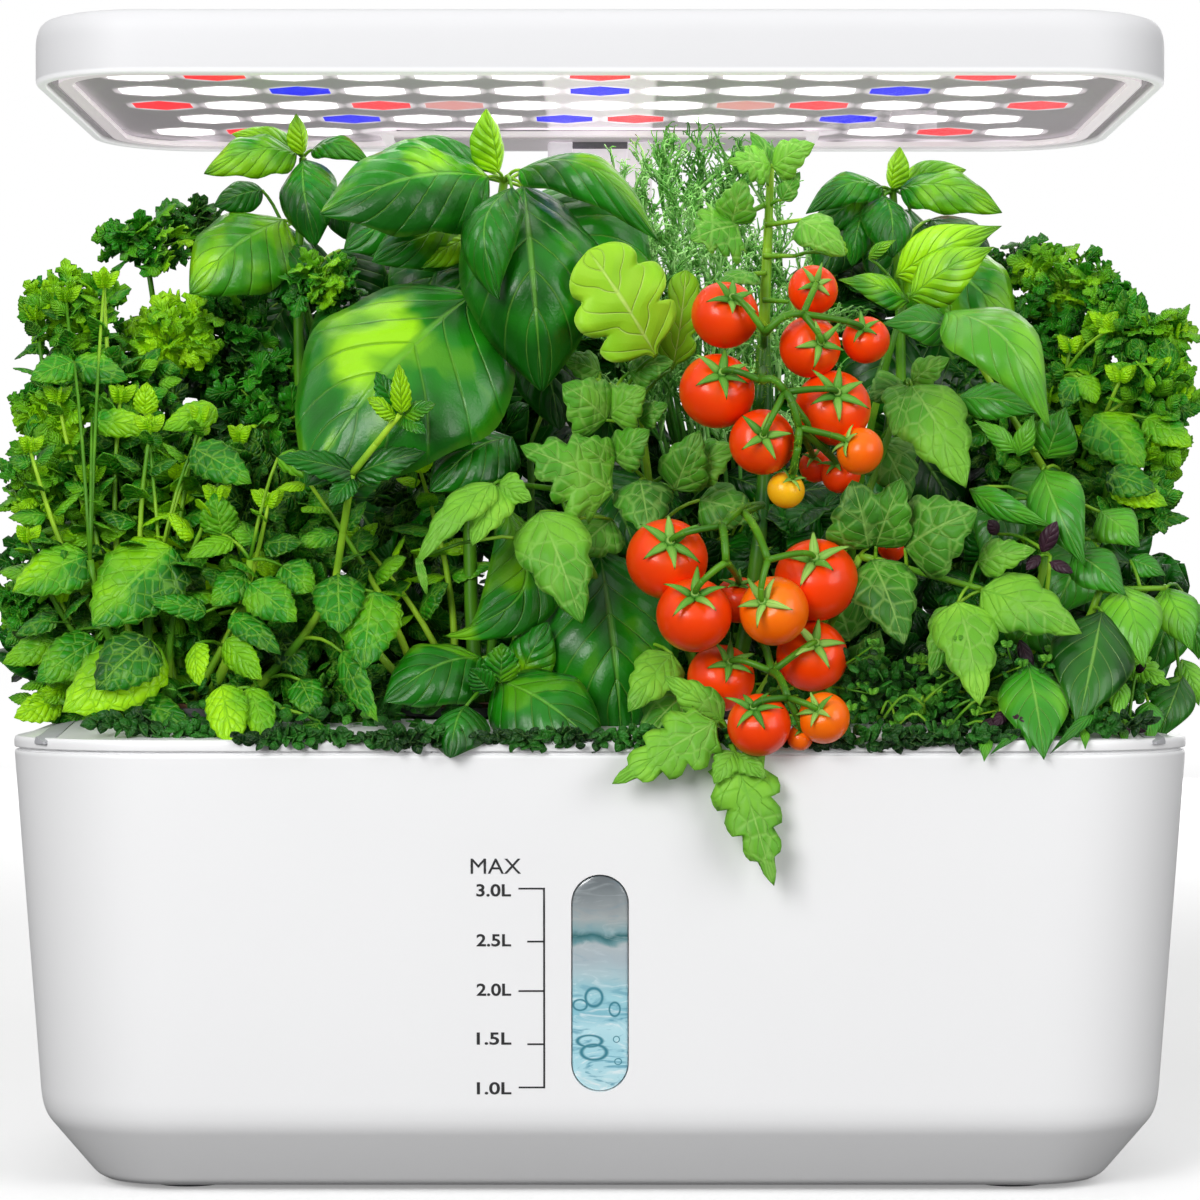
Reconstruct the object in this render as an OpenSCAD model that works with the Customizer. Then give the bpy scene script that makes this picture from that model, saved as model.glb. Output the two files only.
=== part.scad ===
// Countertop hydroponic garden: water tank, planting deck, lamp on a telescoping mast, pump and plants.
// Millimetres. +Z up, +Y towards the mast. The origin is the middle of the footprint, at table height.

/* [Tank] */
// Width of the tank across its rim
tank_w = 281; // [270:1:320]
// Depth of the tank across its rim
tank_d = 182; // [176:1:220]
// Height of the tank from its underside to its rim
tank_h = 102.2; // [95:0.1:130]
// Plan radius of the tank's corners at the rim
tank_r = 40; // [32:1:46]
// How far each side draws in between the rim and the chamfer
tank_draft = 6.5; // [3:0.5:8]
// Wall thickness of the tank
tank_wall = 2.4; // [1.8:0.1:3]
// Thickness of the tank's floor
tank_floor = 3; // [2.4:0.2:4]
// Height of the chamfer round the foot
chamfer_h = 15; // [10:1:20]
// How far the chamfer draws in
chamfer_in = 13; // [8:1:16]
// Height of the rubber feet below the tank
foot_h = 1.4; // [1:0.2:4]
// Radius of a rubber foot
foot_r = 9; // [6:0.5:12]

/* [Level window] */
// Width of the level window
window_w = 13.3; // [10:0.1:20]
// Height of the level window
window_h = 50.8; // [40:0.2:60]
// Height of the window's middle above the tank's underside
window_mid = 49.2; // [46:0.2:54]
// Gap between the lens and its slot, all round
window_fit = 0.15; // [0.05:0.05:0.3]
// How far the lens's inner flange stands out past the slot
window_lap = 3; // [2:0.2:5]
// Thickness of the lens's inner flange
window_flange_t = 1.4; // [1:0.1:2]
// Thickness of the window's gasket
gasket_t = 0.8; // [0.6:0.1:1.4]

/* [Deck] */
// Shadow gap between the tank's rim and the deck's edge
rim_gap = 0.7; // [0.4:0.1:1.5]
// Thickness of the deck's edge band
deck_t = 2.7; // [2.2:0.1:4]
// Rise of the planting plateau above the edge band
plateau_rise = 4.5; // [3:0.5:6]
// Width of the slope up to the plateau at the front
slope_front = 45; // [40:1:48]
// Width of the slope up to the plateau at the sides and the rear
slope_side = 12; // [8:1:16]
// Thickness of the planting plateau
tray_t = 2.4; // [2:0.2:3.2]
// Gap between the deck's skirt and the tank's wall
skirt_gap = 1.2; // [0.9:0.1:2]
// Distance from the tank's side to the middle of the outer pods
pod_edge = 44.5; // [40:0.5:46]
// Half the spacing of the rear inner pods
pod_x_rear = 43; // [42:1:48]
// Distance of the front and rear pods from the middle line
pod_y = 48; // [42:1:52]

/* [Net baskets] */
// Radius of a basket at the tray
basket_r = 14.5; // [12:0.5:16]
// How far a basket narrows to its foot
basket_taper = 3.5; // [2:0.5:5]
// Depth of a basket below the tray
basket_h = 48; // [40:1:52]
// Wall of a basket
basket_wall = 1.4; // [1:0.1:2]
// Width of a basket's flange past its wall
basket_lap = 3; // [2.5:0.1:3.2]
// Thickness of a basket's flange
basket_flange_t = 2; // [1.2:0.2:3]
// Gap between a basket and its hole
basket_fit = 0.7; // [0.3:0.1:1]
// Slots round a basket
basket_slots = 6; // [4:1:8]
// Width of a basket's slots
slot_w = 4; // [3:0.5:5]
// Length of a grow sponge
sponge_h = 25; // [18:1:30]

/* [Filling port] */
// Distance from the tank's side to the middle of the port
port_edge = 26.5; // [25.5:0.5:28]
// Width of the port
port_w = 24; // [20:1:26]
// Length of the port, front to back
port_l = 28; // [20:1:30]
// Thickness of the port's flap
flap_t = 2; // [1.6:0.2:3]
// Radius of the flap's hinge pin
flap_pin_r = 1; // [0.8:0.1:1.4]
// Running clearance of the flap on its pin
pin_fit = 0.05; // [0.02:0.01:0.1]

/* [Mast] */
// Width of the outer mast
mast_w = 28; // [26:0.5:30]
// Depth of the outer mast
mast_d = 24; // [22:0.5:24]
// Wall of the outer mast
mast_wall = 2; // [1.8:0.1:2.4]
// Front face of the mast behind the middle line
mast_y = 48; // [46:1:49]
// Width of the groove down the mast's front
groove_w = 14.8; // [10:0.2:18]
// Depth of the groove down the mast's front
groove_depth = 0.9; // [0.5:0.1:1.2]
// Height of the notch at the top of the groove
notch_h = 1.8; // [1:0.1:4]
// Gap between the inner and the outer mast, filled by the bush
bush_t = 1; // [0.8:0.1:1.4]
// Height of the bush
bush_h = 16; // [10:1:24]
// Sliding clearance of the inner mast in its bush
mast_fit = 0.1; // [0.05:0.01:0.2]
// Wall of the inner mast
inner_wall = 1.2; // [1:0.1:1.6]
// Thickness of the mast's foot plate
foot_plate_t = 5; // [4:0.5:7]
// Overhang of the foot plate round the mast
foot_plate_lap = 8; // [7:0.5:8]
// Radius of the mast's screws
mast_screw_r = 1.5; // [1.2:0.1:1.8]

/* [Lamp] */
// Height of the growing space between the deck and the lamp at its lowest
grow_gap = 155.2; // [130:0.2:200]
// Width of the lamp
hood_w = 271; // [262:1:300]
// Depth of the lamp
hood_d = 152; // [146:1:170]
// Thickness of the lamp
hood_t = 15.3; // [14:0.1:20]
// Plan radius of the lamp's corners
hood_r = 28; // [22:1:34]
// Radius of the lamp's top edge
hood_edge_r = 6; // [4:0.5:8]
// Wall of the lamp's casing
hood_wall = 2.4; // [2:0.1:3]
// Gap between the lamp's rear edge and the mast's rear face
hood_rear_gap = 1; // [0.5:0.5:2]
// Recess of the bezel above the casing's lower edge
bezel_recess = 0.5; // [0.2:0.1:1]
// Thickness of the bezel
bezel_t = 1.2; // [0.8:0.1:1.6]
// Width of the grey margin outside the bezel
margin_w = 3; // [2:0.2:5]
// Width of the bezel
bezel_w = 3.3; // [2.5:0.1:5]
// Thickness of the clear cover
cover_t = 0.8; // [0.6:0.1:1]
// Thickness of the reflector panel
panel_t = 1.6; // [1.2:0.1:2]
// Thickness of the light board
board_t = 1.6; // [1.2:0.1:2]
// Columns of lenses
lens_columns = 13; // [9:2:13]
// Distance from the lamp's side to the middle of the outer lenses
lens_edge = 24.5; // [23:0.5:30]
// Spacing of the rows
lens_pitch_y = 26.2; // [22:0.1:27]
// Corner radius of a hexagonal lens
lens_r = 8.4; // [6:0.1:9]
// Gap round a lens in its panel
lens_fit = 0.1; // [0.05:0.01:0.2]

/* [Lamp clamp] */
// Half width of the clamp plate at the rear of the lamp
clamp_half_w = 55; // [50:1:60]
// Front edge of the clamp plate, in front of the mast
clamp_front = 3; // [2:0.5:5]
// Thickness of the clamp plate
clamp_t = 2; // [1.6:0.1:2.4]
// Radius of a push button
button_r = 5; // [4:0.5:7]
// How far a button stands above the lamp
button_rise = 1; // [0.8:0.1:1.5]
// Travel of a button
button_travel = 1; // [0.6:0.1:1.2]
// Half the spacing of the buttons
button_x = 30; // [20:1:40]

/* [Pump] */
// Width of the pump
pump_w = 38; // [34:1:44]
// Depth of the pump, front to back
pump_d = 34; // [30:1:38]
// Height of the pump
pump_h = 32; // [30:1:40]
// Radius of the impeller
impeller_r = 10; // [8:0.5:11]
// Blades of the impeller
impeller_blades = 6; // [4:1:8]
// Radius of the impeller's shaft
shaft_r = 1.5; // [1.2:0.1:2]
// Running clearance of the shaft
shaft_fit = 0.05; // [0.02:0.01:0.1]
// Radius of the riser tube
riser_r = 4; // [3:0.5:5]

/* [Plants] */
// Thickness of a leaf
leaf_t = 1.2; // [0.8:0.1:2]
// Radius of a main stem
stem_r = 1.6; // [1.2:0.1:2.4]
// Radius of a leaf's stalk
stalk_r = 0.9; // [0.6:0.1:1.2]

/* [Hidden] */
$fn = 48;
cut = 1;  // how far a cutting shape runs past the face it cuts
touch_gap = 0.3;  // gap between pieces that move past each other

// heights, from the table up
tank_z = foot_h;
rim_z = tank_z + tank_h;
deck_z = rim_z + rim_gap;
deck_top = deck_z + deck_t;
tray_z = deck_top + plateau_rise;
skirt_z = deck_z - 2.7;
basket_top = tray_z + basket_flange_t;
sponge_top = basket_top + 1;
lamp_z = deck_top + grow_gap;
lamp_top = lamp_z + hood_t;
bezel_z = lamp_z + bezel_recess;
cover_z = bezel_z + bezel_t;
panel_z = cover_z + cover_t;
board_z = panel_z + panel_t;
ceiling_t = hood_wall + 0.2;
ceiling_z = lamp_top - ceiling_t;

// tank profile, as [height, inset from the rim's outline]
chamfer_top = tank_z + chamfer_h;
bottom_step = 2;
bend_h = 4;
bend_in = 1.2;
tank_slices = [
    [tank_z, tank_draft + chamfer_in + bottom_step],
    [tank_z + bottom_step / 2, tank_draft + chamfer_in],
    [chamfer_top, tank_draft + bend_in],
    [chamfer_top + bend_h, tank_draft],
    [rim_z, 0]
];
cavity_slices = [
    [tank_z + tank_floor, tank_draft + chamfer_in + tank_wall],
    [chamfer_top + 1, tank_draft + bend_in + tank_wall],
    [chamfer_top + bend_h, tank_draft + tank_wall],
    [rim_z, tank_wall]
];
wall_tilt = atan(tank_draft / (rim_z - chamfer_top - bend_h));
wall_t = tank_wall * cos(wall_tilt);

// feet
foot_x = tank_w / 2 - tank_draft - chamfer_in - foot_r - 14;
foot_y = tank_d / 2 - tank_draft - chamfer_in - foot_r - 8;
foot_pocket = 1;

// pods: front row, middle row, rear row, each left to right
pod_x_outer = tank_w / 2 - pod_edge;
pod_x_front = pod_x_outer / 3;
pod_x_middle = 2 * pod_x_outer / 3;
pods = [
    [-pod_x_outer, -pod_y], [-pod_x_front, -pod_y], [pod_x_front, -pod_y], [pod_x_outer, -pod_y],
    [-pod_x_middle, 0], [pod_x_middle, 0],
    [-pod_x_outer, pod_y], [-pod_x_rear, pod_y], [pod_x_rear, pod_y], [pod_x_outer, pod_y]
];
hole_r = basket_r + basket_fit;
basket_slope = basket_taper / basket_h;

// deck
edge_inset = 2;
skirt_inset = tank_wall + skirt_gap;
boss_wall = 2.8;
plateau_w = tank_w - 2 * slope_side;
plateau_d = tank_d - slope_front - slope_side;
plateau_y = (slope_front - slope_side) / 2;
plateau_r = tank_r - slope_side;

// filling port and its flap
port_x = tank_w / 2 - port_edge;
collar_t = 2;
collar_h = 2;
flap_z = tray_z + collar_h + touch_gap;
hinge_z = flap_z + flap_t / 2;
barrel_r = flap_pin_r + pin_fit + 1.3;
hinge_y = port_l / 2 + collar_t + barrel_r + 1;
barrel_l = port_w / 2;
ear_l = 5;
ear_gap = 0.3;

// mast
mast_cy = mast_y + mast_d / 2;
inner_w = mast_w - 2 * mast_wall - 2 * bush_t;
inner_d = mast_d - 2 * mast_wall - 2 * bush_t;
mast_top = lamp_z - touch_gap;
inner_z = tray_z + foot_plate_t + 6;
inner_top = lamp_z + hood_t / 2;
foot_w = mast_w + 2 * foot_plate_lap;
foot_d = mast_d + foot_plate_lap;
foot_cy = mast_cy - foot_plate_lap / 2 + 3;
screw_x = mast_w / 2 + foot_plate_lap / 2;
screw_ys = [foot_cy - foot_d / 2 + 5, foot_cy + foot_d / 2 - 5];
socket_r = 6;
plug_r = 2.75;
socket_z = tray_z + foot_plate_t + 7;

// lamp
hood_cy = mast_y + mast_d + hood_rear_gap - hood_d / 2;
hood_rear = hood_cy + hood_d / 2;
ledge_w = 2;
clamp_y0 = mast_y - clamp_front;
clamp_y1 = hood_rear - hood_wall - 0.1;
bump_half_w = clamp_half_w + bezel_w;
bump_y0 = clamp_y0 - bezel_w;
lens_rows = 5;
lens_pitch_x = (hood_w - 2 * lens_edge) / (lens_columns - 1);
lens_fit_r = lens_r + lens_fit;
hood_screw_x = hood_w / 2 - hood_wall - margin_w - bezel_w / 2;
hood_screw_y = 45;
driver_w = 96;
driver_d = 46;
driver_gap = 1;
driver_y = mast_y - 1 - driver_gap - driver_d / 2;
driver_z = board_z + board_t + 1.2;
button_y = driver_y + driver_d / 2 - 10;
button_flange_t = 1;

// the colours of the lenses, as [row, column]; all others are white
red_cells = [[0, 1], [0, 6], [0, 11], [2, 0], [2, 3], [2, 9], [2, 12], [3, 6], [4, 1], [4, 11]];
blue_cells = [[1, 2], [1, 6], [1, 10], [3, 2], [3, 5], [3, 9]];
far_red_cells = [[2, 4], [2, 8]];

// pump
pump_gap = 0.5;
pump_z = tank_z + tank_floor + pump_gap;
pump_cy = 44;
chamber_r = impeller_r + 1;
chamber_l = 14;
chamber_z = pump_z + 14;
cover_plate_t = 2.5;
pump_front = pump_cy - pump_d / 2;
inlet_r = 5;
filter_t = 7;
shaft_l = 8;

// plants: they grow with the space under the lamp
plant_ratio = grow_gap / 155.2;
leaf_steps = 6;

// ---------- shared shapes ----------

// a rectangle with round corners
module rounded(w, d, r) {
    square([w - 2 * r, d], center = true);
    square([w, d - 2 * r], center = true);
    for (sx = [-1, 1])
        for (sy = [-1, 1])
            translate([sx * (w / 2 - r), sy * (d / 2 - r)]) circle(r);
}

// an upright slot with round ends
module stadium(w, h) {
    square([w, h - w], center = true);
    for (s = [-1, 1])
        translate([0, s * (h - w) / 2]) circle(w / 2);
}

// a flat plate between two heights, with the outline of its children
module plate(z0, z1) {
    translate([0, 0, z0]) linear_extrude(z1 - z0) children();
}

// a block given by its lowest corner and its highest
module block(low, high) {
    translate(low) cube(high - low);
}

// the tank's outline, drawn in by an inset
module tank_outline(inset) {
    rounded(tank_w - 2 * inset, tank_d - 2 * inset, tank_r - inset);
}

// a convex body through a list of [height, inset]
module tank_solid(slices) {
    hull()
        for (s = slices)
            translate([0, 0, s[0]]) linear_extrude(0.01) tank_outline(s[1], $fn = 48);
}

// places its children on the outer face of the front wall: X across, Y up the wall, Z outwards
module on_front_wall(height) {
    inset = tank_draft * (tank_h - height) / (rim_z - chamfer_top - bend_h);
    translate([0, -tank_d / 2 + inset, tank_z + height]) rotate([90 + wall_tilt, 0, 0]) children();
}

// ---------- tank ----------

module tank() {
    color("white") {
        difference() {
            tank_solid(tank_slices);
            tank_solid(cavity_slices);
            on_front_wall(window_mid)
                translate([0, 0, -tank_wall - cut])
                    linear_extrude(tank_wall + 2 * cut) stadium(window_w, window_h);
            for (sx = [-1, 1])
                for (sy = [-1, 1])
                    translate([sx * foot_x, sy * foot_y, tank_z - cut])
                        cylinder(r = foot_r, h = foot_pocket + cut);
            plate(rim_z, rim_z + cut) tank_outline(-cut);
        }
        plate(rim_z - 0.5, deck_z) difference() {
            tank_outline(tank_wall / 2);
            tank_outline(tank_wall);
        }
    }
}

module tank_window() {
    flange_z = -wall_t - gasket_t - window_flange_t;
    color("lightblue")
        on_front_wall(window_mid) {
            translate([0, 0, flange_z])
                linear_extrude(-flange_z) stadium(window_w - 2 * window_fit, window_h - 2 * window_fit);
            translate([0, 0, flange_z])
                linear_extrude(window_flange_t) stadium(window_w + 2 * window_lap, window_h + 2 * window_lap);
        }
}

module window_gasket() {
    color("dimgray")
        on_front_wall(window_mid)
            translate([0, 0, -wall_t - gasket_t])
                linear_extrude(gasket_t) difference() {
                    stadium(window_w + 2 * window_lap, window_h + 2 * window_lap);
                    stadium(window_w, window_h);
                }
}

module feet() {
    color("gray")
        for (sx = [-1, 1])
            for (sy = [-1, 1])
                translate([sx * foot_x, sy * foot_y, 0]) cylinder(r = foot_r, h = tank_z + foot_pocket);
}

// ---------- deck ----------

module deck() {
    color("whitesmoke") {
        difference() {
            union() {
                plate(deck_z, deck_top) tank_outline(0);
                hull() {
                    plate(deck_top - 0.5, deck_top) tank_outline(edge_inset);
                    plate(tray_z - 0.01, tray_z)
                        translate([0, plateau_y]) rounded(plateau_w, plateau_d, plateau_r);
                }
                plate(skirt_z, deck_z) tank_outline(skirt_inset);
            }
            plate(skirt_z - cut, tray_z - tray_t)
                translate([0, plateau_y])
                    rounded(plateau_w - 2 * tray_t, plateau_d - 2 * tray_t, plateau_r - tray_t);
            deck_openings();
        }
        difference() {
            for (p = pods)
                translate([p[0], p[1], skirt_z]) cylinder(r = hole_r + boss_wall, h = tray_z - skirt_z);
            deck_openings();
        }
        plate(tray_z, tray_z + collar_h) translate([port_x, 0]) difference() {
            square([port_w + 2 * collar_t, port_l + 2 * collar_t], center = true);
            square([port_w, port_l], center = true);
        }
        for (s = [-1, 1])
            translate([port_x + s * (barrel_l / 2 + ear_gap + ear_l / 2), hinge_y, hinge_z]) hinge_ear();
    }
}

// everything that passes through the deck
module deck_openings() {
    for (p = pods)
        translate([p[0], p[1], skirt_z - cut]) cylinder(r = hole_r, h = tray_z - skirt_z + 2 * cut);
    translate([port_x, 0, skirt_z - cut])
        linear_extrude(tray_z - skirt_z + 2 * cut) square([port_w, port_l], center = true);
    for (sx = [-1, 1])
        for (y = screw_ys)
            translate([sx * screw_x, y, skirt_z - cut])
                cylinder(r = mast_screw_r + 0.1, h = tray_z - skirt_z + 2 * cut);
}

module hinge_ear() {
    difference() {
        union() {
            rotate([0, 90, 0]) cylinder(r = barrel_r, h = ear_l, center = true);
            translate([-ear_l / 2, -barrel_r, tray_z - hinge_z])
                cube([ear_l, 2 * barrel_r, hinge_z - tray_z]);
        }
        rotate([0, 90, 0]) cylinder(r = flap_pin_r, h = ear_l + 2 * cut, center = true);
    }
}

module fill_flap() {
    color("white")
        difference() {
            union() {
                translate([port_x - port_w / 2 - collar_t, -port_l / 2 - collar_t, flap_z])
                    cube([port_w + 2 * collar_t, port_l + 2 * collar_t, flap_t]);
                translate([port_x - 5, -port_l / 2 - collar_t - 3, flap_z]) cube([10, 4, flap_t]);
                translate([port_x, hinge_y, hinge_z])
                    rotate([0, 90, 0]) cylinder(r = barrel_r, h = barrel_l, center = true);
                translate([port_x - barrel_l / 2, port_l / 2 + collar_t - 1, flap_z])
                    cube([barrel_l, hinge_y - port_l / 2 - collar_t + 1, flap_t]);
            }
            translate([port_x, hinge_y, hinge_z])
                rotate([0, 90, 0]) cylinder(r = flap_pin_r + pin_fit, h = barrel_l + 2 * cut, center = true);
        }
}

module flap_pin() {
    pin_l = barrel_l + 2 * ear_gap + 2 * ear_l;
    color("silver")
        translate([port_x, hinge_y, hinge_z])
            rotate([0, 90, 0]) cylinder(r = flap_pin_r, h = pin_l, center = true);
}

// ---------- net baskets and sponges ----------

function basket_inner(z) = basket_r - basket_wall - basket_slope * (tray_z - z);

module basket(i) {
    floor_z = tray_z - basket_h;
    color("dimgray")
        translate([pods[i][0], pods[i][1], 0])
            difference() {
                union() {
                    translate([0, 0, floor_z])
                        cylinder(r1 = basket_r - basket_taper, r2 = basket_r, h = basket_h);
                    translate([0, 0, tray_z]) cylinder(r = basket_r + basket_lap, h = basket_flange_t);
                }
                translate([0, 0, floor_z + basket_wall])
                    cylinder(r1 = basket_inner(floor_z + basket_wall),
                             r2 = basket_inner(basket_top + cut),
                             h = basket_top + cut - floor_z - basket_wall);
                translate([0, 0, floor_z - cut])
                    cylinder(r = basket_r - basket_taper - 5, h = basket_wall + 2 * cut);
                for (k = [0 : basket_slots - 1])
                    rotate([0, 0, k * 360 / basket_slots])
                        translate([basket_r / 2, -slot_w / 2, floor_z + 6])
                            cube([basket_r, slot_w, basket_h - 14]);
            }
}

module grow_sponges() {
    low = sponge_top - sponge_h;
    color("saddlebrown")
        for (p = pods)
            translate([p[0], p[1], low])
                cylinder(r1 = basket_inner(low) - 0.05, r2 = basket_inner(sponge_top) - 0.05, h = sponge_h);
}

// ---------- mast ----------

module mast_outer() {
    color("white")
        difference() {
            union() {
                block([-mast_w / 2, mast_y, tray_z], [mast_w / 2, mast_y + mast_d, mast_top]);
                block([-foot_w / 2, foot_cy - foot_d / 2, tray_z],
                      [foot_w / 2, foot_cy + foot_d / 2, tray_z + foot_plate_t]);
            }
            block([-mast_w / 2 + mast_wall, mast_y + mast_wall, tray_z + foot_plate_t],
                  [mast_w / 2 - mast_wall, mast_y + mast_d - mast_wall, lamp_z + cut]);
            block([-groove_w / 2, mast_y - cut, tray_z + foot_plate_t + 4],
                  [groove_w / 2, mast_y + groove_depth, lamp_z + cut]);
            block([-groove_w / 2, mast_y - cut, mast_top - notch_h],
                  [groove_w / 2, mast_y + mast_wall + bush_t + cut, lamp_z + cut]);
            for (sx = [-1, 1])
                for (y = screw_ys)
                    translate([sx * screw_x, y, tray_z - cut]) cylinder(r = mast_screw_r, h = foot_plate_t);
            translate([0, mast_y + mast_d + cut, socket_z])
                rotate([90, 0, 0]) cylinder(r = socket_r - 1, h = mast_wall + 2 * cut);
        }
}

module mast_bush() {
    color("lightgray")
        difference() {
            block([-mast_w / 2 + mast_wall, mast_y + mast_wall, mast_top - notch_h - bush_h],
                  [mast_w / 2 - mast_wall, mast_y + mast_d - mast_wall, mast_top - notch_h]);
            block([-inner_w / 2 - mast_fit, mast_cy - inner_d / 2 - mast_fit, mast_top - notch_h - bush_h - cut],
                  [inner_w / 2 + mast_fit, mast_cy + inner_d / 2 + mast_fit, mast_top + cut]);
        }
}

module mast_inner() {
    color("dimgray")
        difference() {
            block([-inner_w / 2, mast_cy - inner_d / 2, inner_z],
                  [inner_w / 2, mast_cy + inner_d / 2, inner_top]);
            block([-inner_w / 2 + inner_wall, mast_cy - inner_d / 2 + inner_wall, inner_z - cut],
                  [inner_w / 2 - inner_wall, mast_cy + inner_d / 2 - inner_wall, inner_top + cut]);
        }
}

module mast_screws() {
    color("silver")
        for (sx = [-1, 1])
            for (y = screw_ys)
                translate([sx * screw_x, y, 0]) {
                    translate([0, 0, tray_z - tray_t - 1.8]) cylinder(r = 2.8, h = 1.8);
                    translate([0, 0, tray_z - tray_t - 0.2]) cylinder(r = mast_screw_r, h = tray_t + 3.2);
                }
}

// the coiled lead inside the mast, as one body of the coil's outer shape
module mast_lead() {
    color("black")
        translate([0, mast_cy, tray_z + foot_plate_t])
            difference() {
                cylinder(r = 6, h = mast_top - tray_z - foot_plate_t - 20);
                translate([0, 0, -cut]) cylinder(r = 3, h = mast_top - tray_z + cut);
            }
}

module dc_inlet() {
    rear = mast_y + mast_d;
    color("black")
        translate([0, rear, socket_z]) rotate([90, 0, 0]) {
            difference() {
                union() {
                    translate([0, 0, -1.5]) cylinder(r = socket_r, h = 1.5);
                    cylinder(r = socket_r - 1, h = mast_wall);
                }
                translate([0, 0, -1.5 - cut]) cylinder(r = plug_r, h = 2.5 + cut);
            }
            translate([0, 0, -1]) cylinder(r = 1, h = 2.5);
        }
}

// ---------- lamp ----------

module hood_outline(inset) {
    translate([0, hood_cy]) rounded(hood_w - 2 * inset, hood_d - 2 * inset, hood_r - inset);
}

// the place of the clamp plate in the lamp's underside
module clamp_bay(grow) {
    translate([-clamp_half_w - grow, clamp_y0 - grow])
        square([2 * (clamp_half_w + grow), clamp_y1 - clamp_y0 + grow + cut]);
}

module hood_shell() {
    color("white")
        difference() {
            hull() {
                plate(lamp_z, lamp_z + 0.01) hood_outline(0);
                for (a = [0 : 15 : 90]) {
                    inset = hood_edge_r * (1 - cos(a));
                    z = lamp_top - hood_edge_r + hood_edge_r * sin(a);
                    plate(z - 0.01, z) hood_outline(inset);
                }
            }
            plate(lamp_z - cut, board_z) hood_outline(hood_wall);
            block([-clamp_half_w - 0.1, clamp_y0, board_z - cut],
                  [clamp_half_w + 0.1, clamp_y1 + 0.1, ceiling_z]);
            difference() {
                plate(board_z - 0.01, ceiling_z) hood_outline(hood_wall + ledge_w);
                for (sx = [-1, 1])
                    for (sy = [-1, 1])
                        translate([sx * hood_screw_x, hood_cy + sy * hood_screw_y, board_z + board_t])
                            cylinder(r = 3, h = hood_t);
            }
            for (sx = [-1, 1])
                for (sy = [-1, 1])
                    translate([sx * hood_screw_x, hood_cy + sy * hood_screw_y, board_z])
                        cylinder(r = 1.2, h = board_t + 5);
            for (sx = [-1, 1])
                translate([sx * button_x, button_y, ceiling_z - cut])
                    cylinder(r = button_r + touch_gap, h = ceiling_t + 2 * cut);
        }
}

module hood_bezel() {
    color("ghostwhite")
        plate(bezel_z, cover_z) difference() {
            hood_outline(hood_wall + margin_w);
            difference() {
                hood_outline(hood_wall + margin_w + bezel_w);
                clamp_bay(bezel_w);
            }
            clamp_bay(0.1);
        }
}

module light_cover() {
    color("lightcyan")
        plate(cover_z, panel_z) difference() {
            hood_outline(hood_wall + 0.1);
            clamp_bay(0.1);
        }
}

module light_panel() {
    color("darkgray")
        plate(panel_z, board_z) difference() {
            hood_outline(hood_wall + 0.1);
            clamp_bay(0.1);
            for (row = [0 : lens_rows - 1])
                for (col = [0 : lens_count(row) - 1])
                    if (lens_shows(row, col))
                        translate(lens_place(row, col)) rotate(30) circle(lens_fit_r, $fn = 6);
            for (sx = [-1, 1])
                for (sy = [-1, 1])
                    translate([sx * hood_screw_x, hood_cy + sy * hood_screw_y]) circle(2.7);
        }
}

// the fourth row stands half a column aside and has one lens less
function row_is_staggered(row) = row == 3;
function lens_count(row) = row_is_staggered(row) ? lens_columns - 1 : lens_columns;
function lens_place(row, col) = [
    (col - (lens_count(row) - 1) / 2) * lens_pitch_x,
    hood_cy + (row - (lens_rows - 1) / 2) * lens_pitch_y
];
// the clamp plate takes the place of the lenses behind it
function lens_shows(row, col) =
    abs(lens_place(row, col)[0]) > bump_half_w + lens_fit_r
    || lens_place(row, col)[1] + lens_fit_r < bump_y0;
function cell_in(row, col, cells) = len([for (c = cells) if (c[0] == row && c[1] == col) c]) > 0;
function lens_kind(row, col) =
    cell_in(row, col, red_cells) ? "red" : cell_in(row, col, blue_cells) ? "blue"
    : cell_in(row, col, far_red_cells) ? "far red" : "white";

module lenses(kind) {
    for (row = [0 : lens_rows - 1])
        for (col = [0 : lens_count(row) - 1])
            if (lens_shows(row, col) && lens_kind(row, col) == kind)
                plate(panel_z, board_z) translate(lens_place(row, col)) rotate(30) circle(lens_r, $fn = 6);
}

module led_board() {
    color("green")
        plate(board_z, board_z + board_t) difference() {
            hood_outline(hood_wall + ledge_w + 0.3);
            clamp_bay(0.5);
            for (sx = [-1, 1])
                for (sy = [-1, 1])
                    translate([sx * hood_screw_x, hood_cy + sy * hood_screw_y]) circle(1.3);
        }
}

module driver_board() {
    color("darkgreen") {
        translate([-driver_w / 2, driver_y - driver_d / 2, driver_z]) cube([driver_w, driver_d, 1]);
        for (sx = [-1, 1])
            for (sy = [-1, 1])
                translate([sx * (driver_w / 2 - 4), driver_y + sy * (driver_d / 2 - 8), board_z + board_t])
                    cylinder(r = 2, h = driver_z - board_z - board_t + 0.2);
        for (sx = [-1, 1])
            translate([sx * button_x - 3, button_y - 3, driver_z + 0.5])
                cube([6, 6, ceiling_z - button_flange_t - 3 * touch_gap - button_travel - driver_z - 0.5]);
    }
}

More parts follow.
